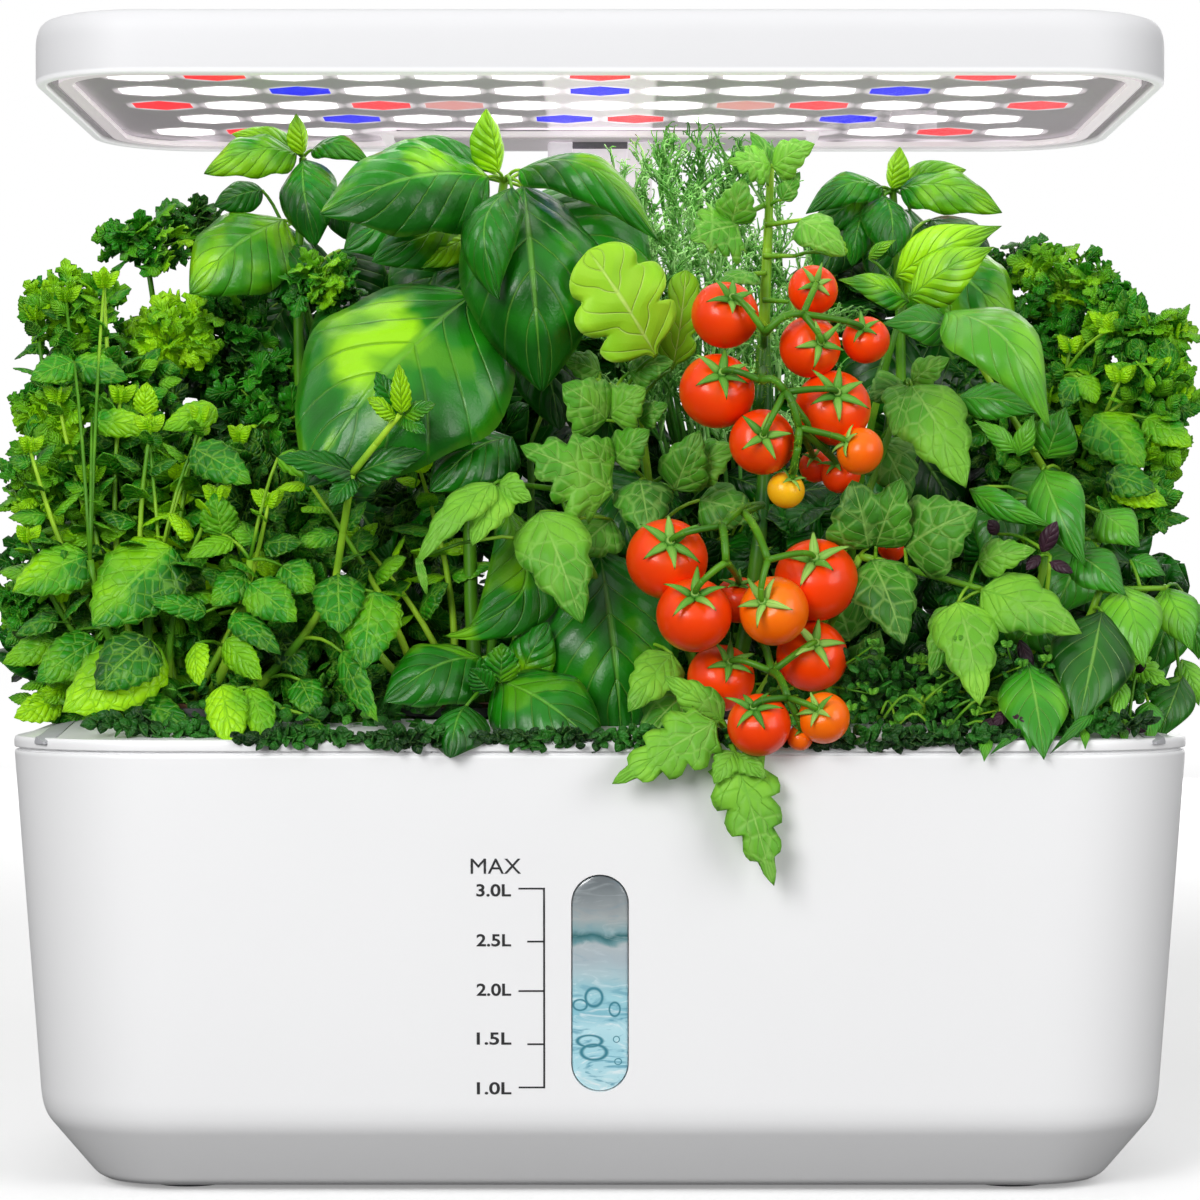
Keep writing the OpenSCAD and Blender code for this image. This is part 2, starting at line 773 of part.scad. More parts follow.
module hood_clamp() {
    color("gray")
        difference() {
            union() {
                block([-clamp_half_w, clamp_y0, lamp_z], [clamp_half_w, clamp_y1, lamp_z + clamp_t]);
                block([-mast_w / 2, mast_y - 1, lamp_z], [mast_w / 2, clamp_y1, ceiling_z]);
                for (s = [-1, 1])
                    block([s * (clamp_half_w - 6) - 4, clamp_y0 + 4, lamp_z],
                          [s * (clamp_half_w - 6) + 4, clamp_y1 - 4, ceiling_z]);
            }
            block([-inner_w / 2 - 0.05, mast_cy - inner_d / 2 - 0.05, lamp_z - cut],
                  [inner_w / 2 + 0.05, mast_cy + inner_d / 2 + 0.05, inner_top]);
            block([-inner_w / 2 + inner_wall, mast_cy - inner_d / 2 + inner_wall, lamp_z],
                  [inner_w / 2 - inner_wall, mast_cy + inner_d / 2 - inner_wall, ceiling_z - 1]);
        }
}

module hood_screws() {
    color("silver")
        for (sx = [-1, 1])
            for (sy = [-1, 1])
                translate([sx * hood_screw_x, hood_cy + sy * hood_screw_y, panel_z + 0.1]) {
                    cylinder(r = 2.5, h = panel_t - 0.1);
                    cylinder(r = 1.2, h = panel_t + board_t + 3);
                }
}

module push_button(x) {
    color("lightgray")
        translate([x, button_y, 0]) {
            translate([0, 0, ceiling_z - button_flange_t - touch_gap])
                cylinder(r = button_r + 1.5, h = button_flange_t);
            translate([0, 0, ceiling_z - button_flange_t - touch_gap])
                cylinder(r = button_r, h = lamp_top + button_rise - ceiling_z + button_flange_t + touch_gap);
        }
}

// ---------- pump ----------

module pump_body() {
    color("black")
        difference() {
            block([-pump_w / 2, pump_front, pump_z], [pump_w / 2, pump_front + pump_d, pump_z + pump_h]);
            translate([0, pump_front - cut, chamber_z])
                rotate([-90, 0, 0]) cylinder(r = chamber_r, h = chamber_l + cut);
            translate([0, pump_front + chamber_l - cut, chamber_z])
                rotate([-90, 0, 0]) cylinder(r = shaft_r + shaft_fit, h = shaft_l + cut + 0.3);
            translate([0, pump_front + chamber_l / 2, chamber_z])
                cylinder(r = riser_r - 1, h = pump_h);
        }
}

module pump_cover() {
    color("black")
        translate([0, pump_front - cover_plate_t, 0])
            difference() {
                block([-pump_w / 2, 0, pump_z], [pump_w / 2, cover_plate_t, pump_z + pump_h]);
                translate([0, -cut, chamber_z])
                    rotate([-90, 0, 0]) cylinder(r = inlet_r, h = cover_plate_t + 2 * cut);
            }
}

module pump_impeller() {
    blade_l = chamber_l - 4;
    color("white")
        translate([0, pump_front + 2, chamber_z]) rotate([-90, 0, 0]) {
            cylinder(r = 3.5, h = blade_l);
            cylinder(r = shaft_r, h = chamber_l - 2 + shaft_l);
            for (k = [0 : impeller_blades - 1])
                rotate([0, 0, k * 360 / impeller_blades])
                    translate([0, -0.7, 0]) cube([impeller_r, 1.4, blade_l]);
        }
}

module pump_filter() {
    color("darkslategray")
        block([-pump_w / 2 + 3, pump_front - cover_plate_t - filter_t, pump_z + 2],
              [pump_w / 2 - 3, pump_front - cover_plate_t, pump_z + pump_h - 4]);
}

module riser_tube() {
    color("gainsboro")
        translate([0, pump_front + chamber_l / 2, pump_z + pump_h])
            difference() {
                cylinder(r = riser_r, h = tray_z - tray_t - pump_z - pump_h);
                translate([0, 0, -cut]) cylinder(r = riser_r - 1, h = tank_h);
            }
}

module pump_lead() {
    color("black")
        translate([pump_w / 4, pump_front + pump_d - 6, pump_z + pump_h])
            cylinder(r = 1.5, h = tray_z - tray_t - pump_z - pump_h);
}

// ---------- plants ----------

// half the breadth of a leaf along its length: widest before the middle, pointed at the tip
function leaf_half(t) = sin(180 * pow(t, 0.75)) * (1 - 0.25 * t);

module stem(a, b, r) {
    d = b - a;
    translate(a) rotate([0, acos(d[2] / norm(d)), atan2(d[1], d[0])]) cylinder(r = r, h = norm(d), $fn = 16);
}

// a flat blade from its base to its tip; turn rolls it about its midrib
module blade(base, tip, width, turn) {
    d = tip - base;
    l = norm(d);
    side = [for (k = [1 : leaf_steps]) [l * k / leaf_steps, width / 2 * leaf_half(k / leaf_steps)]];
    other = [for (k = [leaf_steps - 1 : -1 : 1]) [side[k - 1][0], -side[k - 1][1]]];
    translate(base) rotate([turn, -asin(d[2] / l), atan2(d[1], d[0])])
        translate([-0.3, 0, -leaf_t / 2])
            linear_extrude(leaf_t) polygon(concat([[0, 0.5]], side, other, [[0, -0.5]]));
}

// where a leaf's stalk leaves the stem: lower than the leaf, and a little lower for each next leaf
function stalk_foot(root, crown, base, i) =
    let (t = (base[2] - root[2]) / (crown[2] - root[2]))
    let (out = norm([base[0] - crown[0] * t, base[1] - crown[1] * t]))
    let (low = root[2] + 1.5 + 0.4 * i)
    let (high = crown[2] - 1.5 - 0.5 * i)
    let (z = min(high, max(low, base[2] - 0.7 * out - 1 - 0.3 * i)))
    let (u = (z - root[2]) / (crown[2] - root[2]))
    [crown[0] * u, crown[1] * u, z];

// one plant: a stem from its sponge to the crown, and leaves as [base, tip, width, turn];
// x and y count from the pod, z from the deck's edge band
module plant(pod, crown, leaves, side_stems = []) {
    root = [0, 0, (sponge_top - deck_top) / plant_ratio];
    translate([pods[pod][0], pods[pod][1], deck_top]) scale(plant_ratio) {
        stem(root, crown, stem_r);
        for (i = [0 : len(leaves) - 1]) {
            stem(stalk_foot(root, crown, leaves[i][0], i), leaves[i][0], stalk_r);
            blade(leaves[i][0], leaves[i][1], leaves[i][2], leaves[i][3]);
        }
        for (s = side_stems) stem(s[0], s[1], stalk_r);
    }
}

module mint_left() {
    color("limegreen") plant(0, [-10, -2, 76], [
        [[-26, -8, 42], [-44, -14, 34], 14, 75],
        [[-6, -10, 44], [-25, -18, 26], 20, 75],
        [[-8, -16, 20], [-30, -22, 8], 17, 80],
        [[9, -28, 14], [12, -40, 3], 9, 0],
        [[16, -27, 13], [20, -38, 3], 9, 0],
        [[-20, 4, 70], [-42, 0, 68], 14, 60],
        [[-16, -2, 76], [-34, 2, 84], 14, 50],
        [[-4, 0, 76], [14, -4, 80], 16, 50],
        [[8, -10, 62], [28, -16, 56], 16, 70],
        [[20, -12, 48], [38, -18, 44], 14, 70],
        [[16, -16, 36], [30, -24, 24], 16, 70],
        [[34, -20, 36], [36, -28, 20], 14, 10],
        [[-24, 6, 56], [-54, 6, 46], 16, 40],
        [[-20, 14, 44], [-44, 20, 40], 18, 50],
        [[-22, -6, 26], [-46, -8, 18], 14, 70],
        [[-4, 6, 58], [14, 8, 50], 18, 40],
        [[24, -20, 14], [34, -32, 5], 14, 0]
    ]);
}

module basil_front() {
    color("forestgreen") plant(1, [8, 8, 134], [
        [[2, 4, 136], [-30, -8, 127], 20, 60],
        [[14, 6, 136], [44, -8, 120], 18, 60],
        [[8, 4, 138], [5, -2, 150], 9, 0],
        [[16, 4, 130], [38, -2, 102], 22, 40],
        [[11, -2, 130], [11, -18, 92], 24, 0],
        [[21, 2, 124], [18, -8, 86], 20, 10],
        [[0, -6, 105], [-33, -22, 62], 46, 62],
        [[10, -8, 70], [-7, -19, 57], 16, 60],
        [[-2, -16, 18], [-18, -30, 9], 16, 70],
        [[12, -22, 15], [32, -36, 4], 17, 60],
        [[31, -8, 43], [36, -17, 4], 28, 0],
        [[10, -8, 54], [-3, -20, 26], 16, 50],
        [[-4, 8, 92], [-30, 4, 76], 26, 50],
        [[22, 4, 62], [38, -2, 44], 20, 50],
        [[2, 4, 40], [-16, -6, 26], 20, 50]
    ]);
}

module tomato_plant() {
    color("yellowgreen") plant(2, [8, -4, 136], [
        [[4, -5, 137], [-5, -9, 136], 12, 60],
        [[12, -5, 137], [20, -9, 141], 11, 60],
        [[2, -7, 121], [-11, -13, 117], 16, 60],
        [[14, -7, 122], [26, -12, 114], 12, 60],
        [[-19, -14, 90], [-36, -21, 114], 22, 75],
        [[-22, -10, 74], [-41, -18, 80], 15, 60],
        [[-28, -15, 58], [-51, -23, 66], 19, 70],
        [[-44, -22, 54], [-36, -31, 28], 17, 60],
        [[-50, -25, 56], [-70, -34, 42], 9, 60],
        [[31, -26, 42], [30, -32, 60], 20, 60],
        [[36, -26, 43], [54, -33, 52], 18, 70],
        [[34, -26, 40], [39, -35, 20], 16, 20],
        [[55, -26, 34], [79, -34, 24], 15, 70],
        [[49, -28, 30], [55, -38, 8], 15, 10],
        [[40, -12, 82], [55, -21, 59], 17, 50],
        [[-13, -22, 20], [-25, -30, 8], 12, 60],
        [[-6, -45, 12], [-30, -52, -6], 12, 60],
        [[4, -48, 7], [8, -53, -33], 14, 0],
        [[12, 2, 70], [24, 4, 60], 18, 30]
    ], [
        [[6, -2, 110], [8, -20, 98]],
        [[8, -19, 100], [8, -20, 60]],
        [[4, -2, 70], [8, -20, 54]],
        [[8, -19, 56], [8, -20, 14]]
    ]);
}

// cherry tomatoes, as [centre, radius], from the same pod as their plant
tomato_list = [
    [[-3, -30, 99], 7.9], [[18, -26, 104], 5.8], [[17, -32, 90], 7.2], [[30, -28, 92], 5.6],
    [[-5, -32, 80], 8.9], [[22, -34, 76], 8.9], [[6, -36, 67], 7.7], [[29, -36, 65], 5.6], [[12, -38, 56], 4.4],
    [[-16, -30, 41], 9.6], [[-10, -38, 27], 8.9], [[9, -38, 28], 8.2], [[18, -28, 36], 9.8],
    [[-4, -26, 15], 7.9], [[17, -26, 18], 8.4], [[4, -49, 4], 7.2], [[19, -48, 5], 5.8]
];
truss_x = 8;
truss_y = -20;
truss_top = 98;
module tomatoes() {
    color("red")
        translate([pods[2][0], pods[2][1], deck_top]) scale(plant_ratio)
            for (i = [0 : len(tomato_list) - 1]) {
                centre = tomato_list[i][0];
                r = tomato_list[i][1];
                translate(centre) sphere(r);
                stem(centre + [0, 0, r / 2],
                     [truss_x, truss_y, min(centre[2] + r + 2, truss_top - 2 * i)], stalk_r);
            }
}

module pepper_plant() {
    color("mediumseagreen") plant(3, [4, -8, 98], [
        [[22, -24, 30], [14, -37, 5], 18, 0],
        [[27, -20, 34], [31, -28, 16], 14, 30],
        [[36, -14, 34], [43, -20, 18], 12, 30],
        [[5, -28, 20], [8, -40, 4], 14, 0],
        [[10, -12, 62], [17, -24, 38], 14, 50],
        [[2, -14, 99], [14, -27, 74], 18, 40],
        [[-4, -12, 98], [-26, -18, 97], 11, 60],
        [[10, -12, 68], [15, -14, 82], 12, 60],
        [[22, -10, 52], [34, -15, 42], 12, 60],
        [[-2, -12, 60], [-14, -16, 66], 11, 60],
        [[2, -14, 34], [-12, -22, 20], 18, 40],
        [[18, -6, 46], [32, -8, 34], 18, 40]
    ]);
}

module basil_left() {
    color("forestgreen") plant(4, [-11, -12, 136], [
        [[-16, -14, 142], [-36, -21, 137], 14, 50],
        [[-6, -14, 142], [8, -18, 140], 12, 50],
        [[-11, -14, 142], [-11, -17, 151], 8, 0],
        [[-16, -14, 127], [-38, -20, 109], 24, 60],
        [[-9, -16, 138], [-7, -25, 119], 14, 0],
        [[-14, -18, 122], [-18, -24, 106], 15, 10],
        [[-12, -2, 114], [-16, 28, 98], 24, 0],
        [[0, -4, 104], [20, 12, 94], 22, 30],
        [[-16, -8, 96], [-34, -8, 82], 24, 50],
        [[2, -10, 84], [18, -12, 66], 22, 40],
        [[-14, 0, 66], [-34, 10, 54], 24, 30],
        [[4, 2, 56], [20, 4, 36], 26, 30],
        [[-16, 0, 44], [-36, 4, 30], 24, 30]
    ]);
}

module basil_right() {
    color("forestgreen") plant(5, [12, -14, 132], [
        [[7, -17, 134], [-12, -21, 128], 14, 50],
        [[17, -17, 134], [36, -23, 128], 14, 50],
        [[11, -17, 136], [10, -20, 148], 8, 0],
        [[7, -19, 131], [8, -28, 114], 14, 0],
        [[12, -24, 112], [33, -36, 123], 13, 70],
        [[14, -30, 106], [31, -44, 116], 13, 70],
        [[18, -14, 118], [39, -20, 99], 24, 60],
        [[14, 0, 114], [20, 28, 98], 24, 0],
        [[4, -8, 96], [-10, -6, 74], 24, 40],
        [[18, -6, 92], [34, -4, 74], 24, 40],
        [[2, -2, 60], [-14, 2, 40], 24, 30]
    ]);
}

module parsley() {
    color("limegreen") plant(6, [-12, -22, 118], [
        [[-16, -34, 124], [-32, -42, 126], 18, 60],
        [[-8, -28, 126], [2, -36, 132], 16, 60],
        [[0, -34, 120], [16, -40, 122], 18, 60],
        [[-26, -50, 106], [-42, -66, 106], 16, 70],
        [[-16, -48, 104], [-10, -60, 92], 20, 30],
        [[4, -38, 106], [18, -46, 98], 22, 50],
        [[-24, -56, 82], [-44, -76, 78], 16, 70],
        [[22, -58, 108], [34, -72, 112], 14, 60],
        [[-22, -10, 86], [-46, -8, 78], 22, 40],
        [[-10, 6, 92], [-22, 30, 80], 20, 20],
        [[2, 6, 78], [12, 36, 66], 20, 20],
        [[-6, 18, 54], [-10, 55, 42], 22, 0],
        [[-16, 0, 62], [-44, 2, 54], 20, 30],
        [[4, -30, 70], [24, -40, 60], 22, 40],
        [[-14, -30, 52], [-34, -40, 40], 22, 40],
        [[8, 6, 50], [28, 12, 38], 20, 30]
    ]);
}

module oregano() {
    color("seagreen") plant(7, [0, 0, 84], [
        [[-6, 0, 86], [-28, -6, 92], 22, 40],
        [[6, -4, 86], [20, -14, 78], 22, 40],
        [[-2, 10, 72], [-12, 38, 60], 20, 0],
        [[4, 12, 56], [12, 40, 46], 20, 0],
        [[-4, -14, 66], [-26, -24, 56], 26, 50],
        [[6, -14, 56], [24, -24, 44], 26, 50],
        [[-4, -14, 36], [-28, -22, 24], 26, 50],
        [[8, -14, 30], [30, -24, 18], 26, 50],
        [[-4, 8, 34], [-24, 24, 22], 22, 30],
        [[2, -20, 18], [4, -48, 8], 22, 0]
    ]);
}

module dill() {
    color("palegreen") plant(8, [-8, -20, 108], [
        [[-14, -24, 112], [-32, -32, 142], 12, 60],
        [[-10, -24, 114], [-20, -34, 146], 10, 60],
        [[-4, -24, 112], [-8, -32, 142], 12, 60],
        [[-14, -26, 92], [-30, -38, 118], 12, 60],
        [[-4, -26, 92], [2, -36, 116], 12, 60],
        [[-2, -6, 82], [6, 22, 92], 10, 0],
        [[2, 2, 60], [4, 34, 62], 12, 0],
        [[-12, -26, 62], [-22, -40, 88], 11, 50],
        [[2, -24, 56], [16, -36, 44], 24, 50],
        [[-12, -24, 40], [-28, -36, 28], 24, 50]
    ]);
}

module mint_right() {
    color("limegreen") plant(9, [20, -36, 104], [
        [[26, -42, 110], [38, -50, 112], 16, 60],
        [[12, -36, 114], [0, -38, 120], 16, 60],
        [[20, -39, 106], [21, -46, 120], 14, 0],
        [[28, -46, 98], [46, -60, 94], 16, 60],
        [[14, -44, 94], [2, -46, 92], 18, 60],
        [[24, -56, 84], [42, -68, 88], 16, 60],
        [[26, -60, 76], [37, -80, 66], 14, 50],
        [[30, -54, 70], [54, -70, 70], 14, 60],
        [[14, -50, 70], [30, -62, 62], 18, 60],
        [[8, -14, 84], [22, 20, 72], 20, 20],
        [[-4, -2, 64], [-8, 34, 54], 22, 0],
        [[6, 18, 48], [10, 55, 36], 20, 0],
        [[0, -22, 84], [-18, -26, 76], 18, 50],
        [[-2, -26, 54], [-20, -34, 40], 24, 40],
        [[-4, -22, 32], [-22, -34, 20], 22, 40],
        [[26, -34, 84], [44, -30, 78], 18, 40]
    ]);
}

// ---------- one line for each node ----------

tank();
tank_window();
window_gasket();
feet();
deck();
fill_flap();
flap_pin();
mast_outer();
mast_inner();
mast_bush();
mast_screws();
mast_lead();
dc_inlet();
hood_shell();
hood_bezel();
light_cover();
light_panel();
color("white") lenses("white");  // lens_white
color("red") lenses("red");  // lens_red
color("blue") lenses("blue");  // lens_blue
color("indianred") lenses("far red");  // lens_far_red
led_board();
driver_board();
hood_clamp();
hood_screws();
push_button(-button_x);  // light_button
push_button(button_x);  // pump_button
pump_body();
pump_cover();
pump_impeller();
pump_filter();
riser_tube();
pump_lead();
grow_sponges();
for (i = [0 : len(pods) - 1])
    basket(i);
mint_left();
basil_front();
tomato_plant();
tomatoes();
pepper_plant();
basil_left();
basil_right();
parsley();
oregano();
dill();
mint_right();
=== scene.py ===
# %% [markdown]
# # A countertop hydroponic garden
# The garden is a white moulded water tank with a planting deck, a lamp on a telescoping mast, and a dense
# growth of herbs and cherry tomatoes. The rigid solids come ready made, in metres and in one frame. This
# script dresses them: it gives every piece its surface, and puts finer pieces where a plain solid would
# not do, such as rounded mouldings and real leaves.

# %% Load the frame
import math
import random

import bpy
from mathutils import Matrix, Vector
from mathutils.bvhtree import BVHTree


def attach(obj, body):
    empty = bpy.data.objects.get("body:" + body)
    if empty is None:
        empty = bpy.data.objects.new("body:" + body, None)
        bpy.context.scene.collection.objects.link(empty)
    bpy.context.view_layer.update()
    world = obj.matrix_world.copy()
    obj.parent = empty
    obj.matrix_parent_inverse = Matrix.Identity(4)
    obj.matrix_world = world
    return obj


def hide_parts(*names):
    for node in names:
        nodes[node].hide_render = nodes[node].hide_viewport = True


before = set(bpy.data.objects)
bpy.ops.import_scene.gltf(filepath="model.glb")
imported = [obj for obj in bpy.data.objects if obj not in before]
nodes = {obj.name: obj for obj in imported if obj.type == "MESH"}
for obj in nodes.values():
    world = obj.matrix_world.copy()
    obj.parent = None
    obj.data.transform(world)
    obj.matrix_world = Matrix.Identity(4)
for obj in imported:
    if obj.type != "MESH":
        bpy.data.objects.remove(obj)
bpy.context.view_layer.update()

# %% [markdown]
# ## The camera
# A long lens from the front, level with the middle of the plants, keeps the tank's sides nearly upright,
# as a catalogue picture does. The camera looks straight along +Y, so no shift is needed.

# %% Camera
CAMERA_Y, CAMERA_Z = -0.932, 0.1392
LENS, SENSOR = 109.8, 36  # focal length and sensor width, in millimetres
FRAME = 1200  # the steps across the frame in which the plants' places are given

bpy.ops.object.camera_add(location=(0, CAMERA_Y, CAMERA_Z), rotation=(math.radians(90), 0, 0))
camera = bpy.context.object
camera.name = "front_camera"
camera.data.lens = LENS
camera.data.sensor_width = SENSOR
bpy.context.scene.camera = camera
bpy.context.scene.view_settings.view_transform = "Standard"
print("camera height", CAMERA_Z)

# %% [markdown]
# ## Colours and nodes
# A colour picked on screen is sRGB, while the shader wants linear light, so one function turns a hex
# value into linear numbers. A second one adds a shader node, sets it up and links it in one line.

# %% Colour and node helpers
def linear(code):
    """A linear colour from an sRGB hex value such as F4F4F4."""
    parts = [int(code[i : i + 2], 16) / 255 for i in (0, 2, 4)]
    return tuple(c / 12.92 if c <= 0.04045 else ((c + 0.055) / 1.055) ** 2.4 for c in parts) + (1.0,)


def fill(node, inputs):
    """Fills a node's inputs with values or links; a node given as a value stands for its first output."""
    for name, value in inputs.items():
        if isinstance(value, bpy.types.Node):
            value = value.outputs[0]
        if isinstance(value, bpy.types.NodeSocket):
            node.id_data.links.new(value, node.inputs[name])
        else:
            node.inputs[name].default_value = value
    return node


def add(tree, kind, inputs=None, **settings):
    """Adds a shader node, sets it up, and fills its inputs."""
    node = tree.nodes.new("ShaderNode" + kind)
    for name, value in settings.items():
        setattr(node, name, value)
    return fill(node, inputs or {})


def new_material(name):
    """An empty material, its node tree and its main shader."""
    material = bpy.data.materials.new(name)
    material.use_nodes = True
    return material, material.node_tree, main_shader(material)


def main_shader(material):
    """The shader that a material's look is set on."""
    return material.node_tree.nodes["Principled BSDF"]


print("mid grey in linear light:", round(linear("808080")[0], 3))

# %% [markdown]
# ## Room and light
# The object stands on a pale floor in a white room. Rays that the camera or a clear piece sends out see
# pure white, a mirror sees white that dims towards the floor, while the light that falls on the object is set
# apart and stays at a plain level.
# The floor glows a little for the camera only, so it stays white and still shows the soft shadow.

# %% World and floor
def camera_ray(tree):
    """A tree's light path, and whether the ray comes from the camera, straight or through a clear piece."""
    path = add(tree, "LightPath")
    rays = {0: path.outputs["Is Camera Ray"], 1: path.outputs["Is Transmission Ray"]}
    return path, add(tree, "Math", rays, operation="MAXIMUM")


AMBIENT = 0.41  # how bright the room is for the light that falls on the object
world = bpy.data.worlds.new("white_room")
bpy.context.scene.world = world
world.use_nodes = True
tree = world.node_tree
tree.nodes.clear()
path, direct = camera_ray(tree)
level = add(tree, "MapRange", {"Value": direct, "To Min": AMBIENT, "To Max": 1.0})
way = add(tree, "SeparateXYZ", {0: add(tree, "TexCoord").outputs["Generated"]})
mirrored = add(tree, "MapRange", {"Value": way.outputs["Z"], "From Min": -0.2, "From Max": 0.8,
                                  "To Min": 0.3, "To Max": 1.0})
level = add(tree, "Mix", {0: path.outputs["Is Glossy Ray"], 2: level, 3: mirrored})
sky = add(tree, "Background", {"Color": linear("FFFFFF"), "Strength": level})
add(tree, "OutputWorld", {"Surface": sky})

bpy.ops.object.select_all(action="DESELECT")
bpy.ops.mesh.primitive_plane_add(size=24, location=(0, 0, 0))
floor = bpy.context.object
floor.name = "floor"
material, tree, shader = new_material("floor_paper")
tree.nodes.clear()
_, direct = camera_ray(tree)
dull = add(tree, "BsdfDiffuse", {"Color": linear("6E6E6E")})
bright = add(tree, "BsdfDiffuse", {"Color": linear("F2F2F2")})
# the glow grows with the distance, so that the floor meets the white room without a line
out_there = add(tree, "VectorMath", {0: add(tree, "TexCoord").outputs["Object"]}, operation="LENGTH")
far = add(tree, "MapRange", {"Value": out_there.outputs["Value"], "From Min": 0.7, "From Max": 2.4,
                             "To Min": 0.28, "To Max": 0.62})
glow = add(tree, "Emission", {"Color": linear("FFFFFF"), "Strength": far})
shown = add(tree, "AddShader", {0: bright, 1: glow})
mixed = add(tree, "MixShader", {0: direct, 1: dull, 2: shown})
add(tree, "OutputMaterial", {"Surface": mixed})
floor.data.materials.append(material)
print("floor and world ready")

# %% Lamps
AIM = Vector((0, 0, 0.14))
LAMPS = [
    # name, place, size in metres, power in watts
    ("key_light", (-0.95, -1.9, 0.95), 1.0, 33.0),
    ("fill_light", (1.45, -1.45, 0.7), 1.2, 17.2),
    ("back_light", (0.35, 1.85, 0.5), 1.2, 9.0),
]
for name, place, size, power in LAMPS:
    bpy.ops.object.light_add(type="AREA", location=place)
    lamp = bpy.context.object
    lamp.name = name
    lamp.data.size = size
    lamp.data.energy = power
    lamp.visible_camera = False
    lamp.rotation_mode = "QUATERNION"
    lamp.rotation_quaternion = (AIM - Vector(place)).to_track_quat("-Z", "Y")
# the garden's own lamp: a soft, slightly rosy light from under the hood
bpy.ops.object.light_add(type="AREA", location=(0, -0.02, 0.2605))
lamp = bpy.context.object
lamp.name = "grow_light"
lamp.data.shape = "RECTANGLE"
lamp.data.size, lamp.data.size_y = 0.22, 0.10
lamp.data.energy = 0.08
lamp.data.color = (1.0, 0.93, 0.98)
lamp.visible_camera = lamp.visible_glossy = lamp.visible_transmission = False
print("lamps:", len(LAMPS) + 1)

# %% [markdown]
# ## Moulded shells
# A moulding such as the tank is a stack of rounded rectangles, each a little larger than the one below.
# No single operator keeps a corner's radius while it draws the sides in, so each ring is worked out from
# its width, depth and corner radius, and neighbouring rings are joined with faces. Corners of the profile
# are rounded first, because light runs along an edge that has a radius.

# %% Ring and shell helpers
MM = 0.001


def outline(width, depth, radius, middle_y, steps=10):
    """Points round a rectangle with round corners, in millimetres, as (x, y)."""
    points = []
    for sx, sy, start in ((1, 1, 0), (-1, 1, 90), (-1, -1, 180), (1, -1, 270)):
        for k in range(steps + 1):
            a = math.radians(start + 90 * k / steps)
            points.append((sx * (width / 2 - radius) + radius * math.cos(a),
                           middle_y + sy * (depth / 2 - radius) + radius * math.sin(a)))
    return points


def rounded_path(points, steps=4):
    """A path of (a, b, rounding) as (a, b), with each corner that has a rounding made of short steps."""
    path = []
    for i, (a, b, rounding) in enumerate(points):
        if rounding == 0 or i in (0, len(points) - 1):
            path.append((a, b))
            continue
        here = Vector((a, b))
        before = Vector(points[i - 1][:2])
        after = Vector(points[i + 1][:2])
        start = here + (before - here).normalized() * min(rounding, (before - here).length * 0.49)
        end = here + (after - here).normalized() * min(rounding, (after - here).length * 0.49)
        for k in range(steps + 1):
            t = k / steps
            path.append(tuple(start * (1 - t) ** 2 + here * 2 * t * (1 - t) + end * t * t))
    return path


def pick(*pieces):
    """Selects these pieces and nothing else, the first one active."""
    bpy.ops.object.select_all(action="DESELECT")
    for piece in pieces:
        piece.select_set(True)
    bpy.context.view_layer.objects.active = pieces[0]


def new_piece(name, points, faces):
    """A mesh object from points in metres and faces."""
    mesh = bpy.data.meshes.new(name)
    mesh.from_pydata(points, [], faces)
    piece = bpy.data.objects.new(name, mesh)
    bpy.context.scene.collection.objects.link(piece)
    return piece


def settle(piece, merge=0.0):
    """Picks the piece, merges points that are closer than merge, and turns its faces outwards."""
    pick(piece)
    bpy.ops.object.mode_set(mode="EDIT")
    bpy.ops.mesh.select_all(action="SELECT")
    if merge:
        bpy.ops.mesh.remove_doubles(threshold=merge)
    bpy.ops.mesh.normals_make_consistent(inside=False)
    bpy.ops.object.mode_set(mode="OBJECT")
    return piece


def shell(name, rings, hoop=False):
    """A closed shell through rings of (outline, height).

    A hoop's last ring joins its first; otherwise the first and the last ring get a face each.
    """
    count = len(rings[0][0])
    points = [(x * MM, y * MM, z * MM) for ring, z in rings for x, y in ring]
    faces = [] if hoop else [list(range(count)), list(range(len(points) - count, len(points)))]
    for r in range(len(rings) if hoop else len(rings) - 1):
        s = (r + 1) % len(rings)
        for k in range(count):
            n = (k + 1) % count
            faces.append([r * count + k, r * count + n, s * count + n, s * count + k])
    return settle(new_piece(name, points, faces))


def tube(name, radius_out, radius_in, low, high, middle=(0, 0), steps=12):
    """An upright ring or, with no inner radius, a closed cylinder, in millimetres."""
    outer, inner = (
        [(middle[0] + x, middle[1] + y) for x, y in outline(2 * radius, 2 * radius, radius - 0.001, 0, steps)]
        for radius in (radius_out, radius_in))
    if radius_in == 0:
        return shell(name, [(outer, low), (outer, high)])
    return shell(name, [(inner, low), (outer, low), (outer, high), (inner, high)], hoop=True)


def box_shape(name, low, high, radius=0.3, middle_steps=3):
    """An upright block between two corners in millimetres, with softly rounded upright edges."""
    ring = outline(high[0] - low[0], high[1] - low[1], radius, (low[1] + high[1]) / 2, middle_steps)
    ring = [(x + (low[0] + high[0]) / 2, y) for x, y in ring]
    return shell(name, [(ring, low[2]), (ring, high[2])])


def join(pieces):
    """The pieces as one object, named as the first."""
    pick(*pieces)
    bpy.ops.object.join()
    return pieces[0]


def carve(piece, cutters):
    """Cuts the cutters out of the piece and removes them."""
    cutter = join(cutters)
    pick(piece)
    step = piece.modifiers.new("carve", "BOOLEAN")
    step.object = cutter
    step.operation = "DIFFERENCE"
    step.solver = "EXACT"
    bpy.ops.object.modifier_apply(modifier="carve")
    bpy.data.objects.remove(cutter)


def coat(piece, material):
    """Gives the piece this material and no other."""
    piece.data.materials.clear()
    piece.data.materials.append(material)


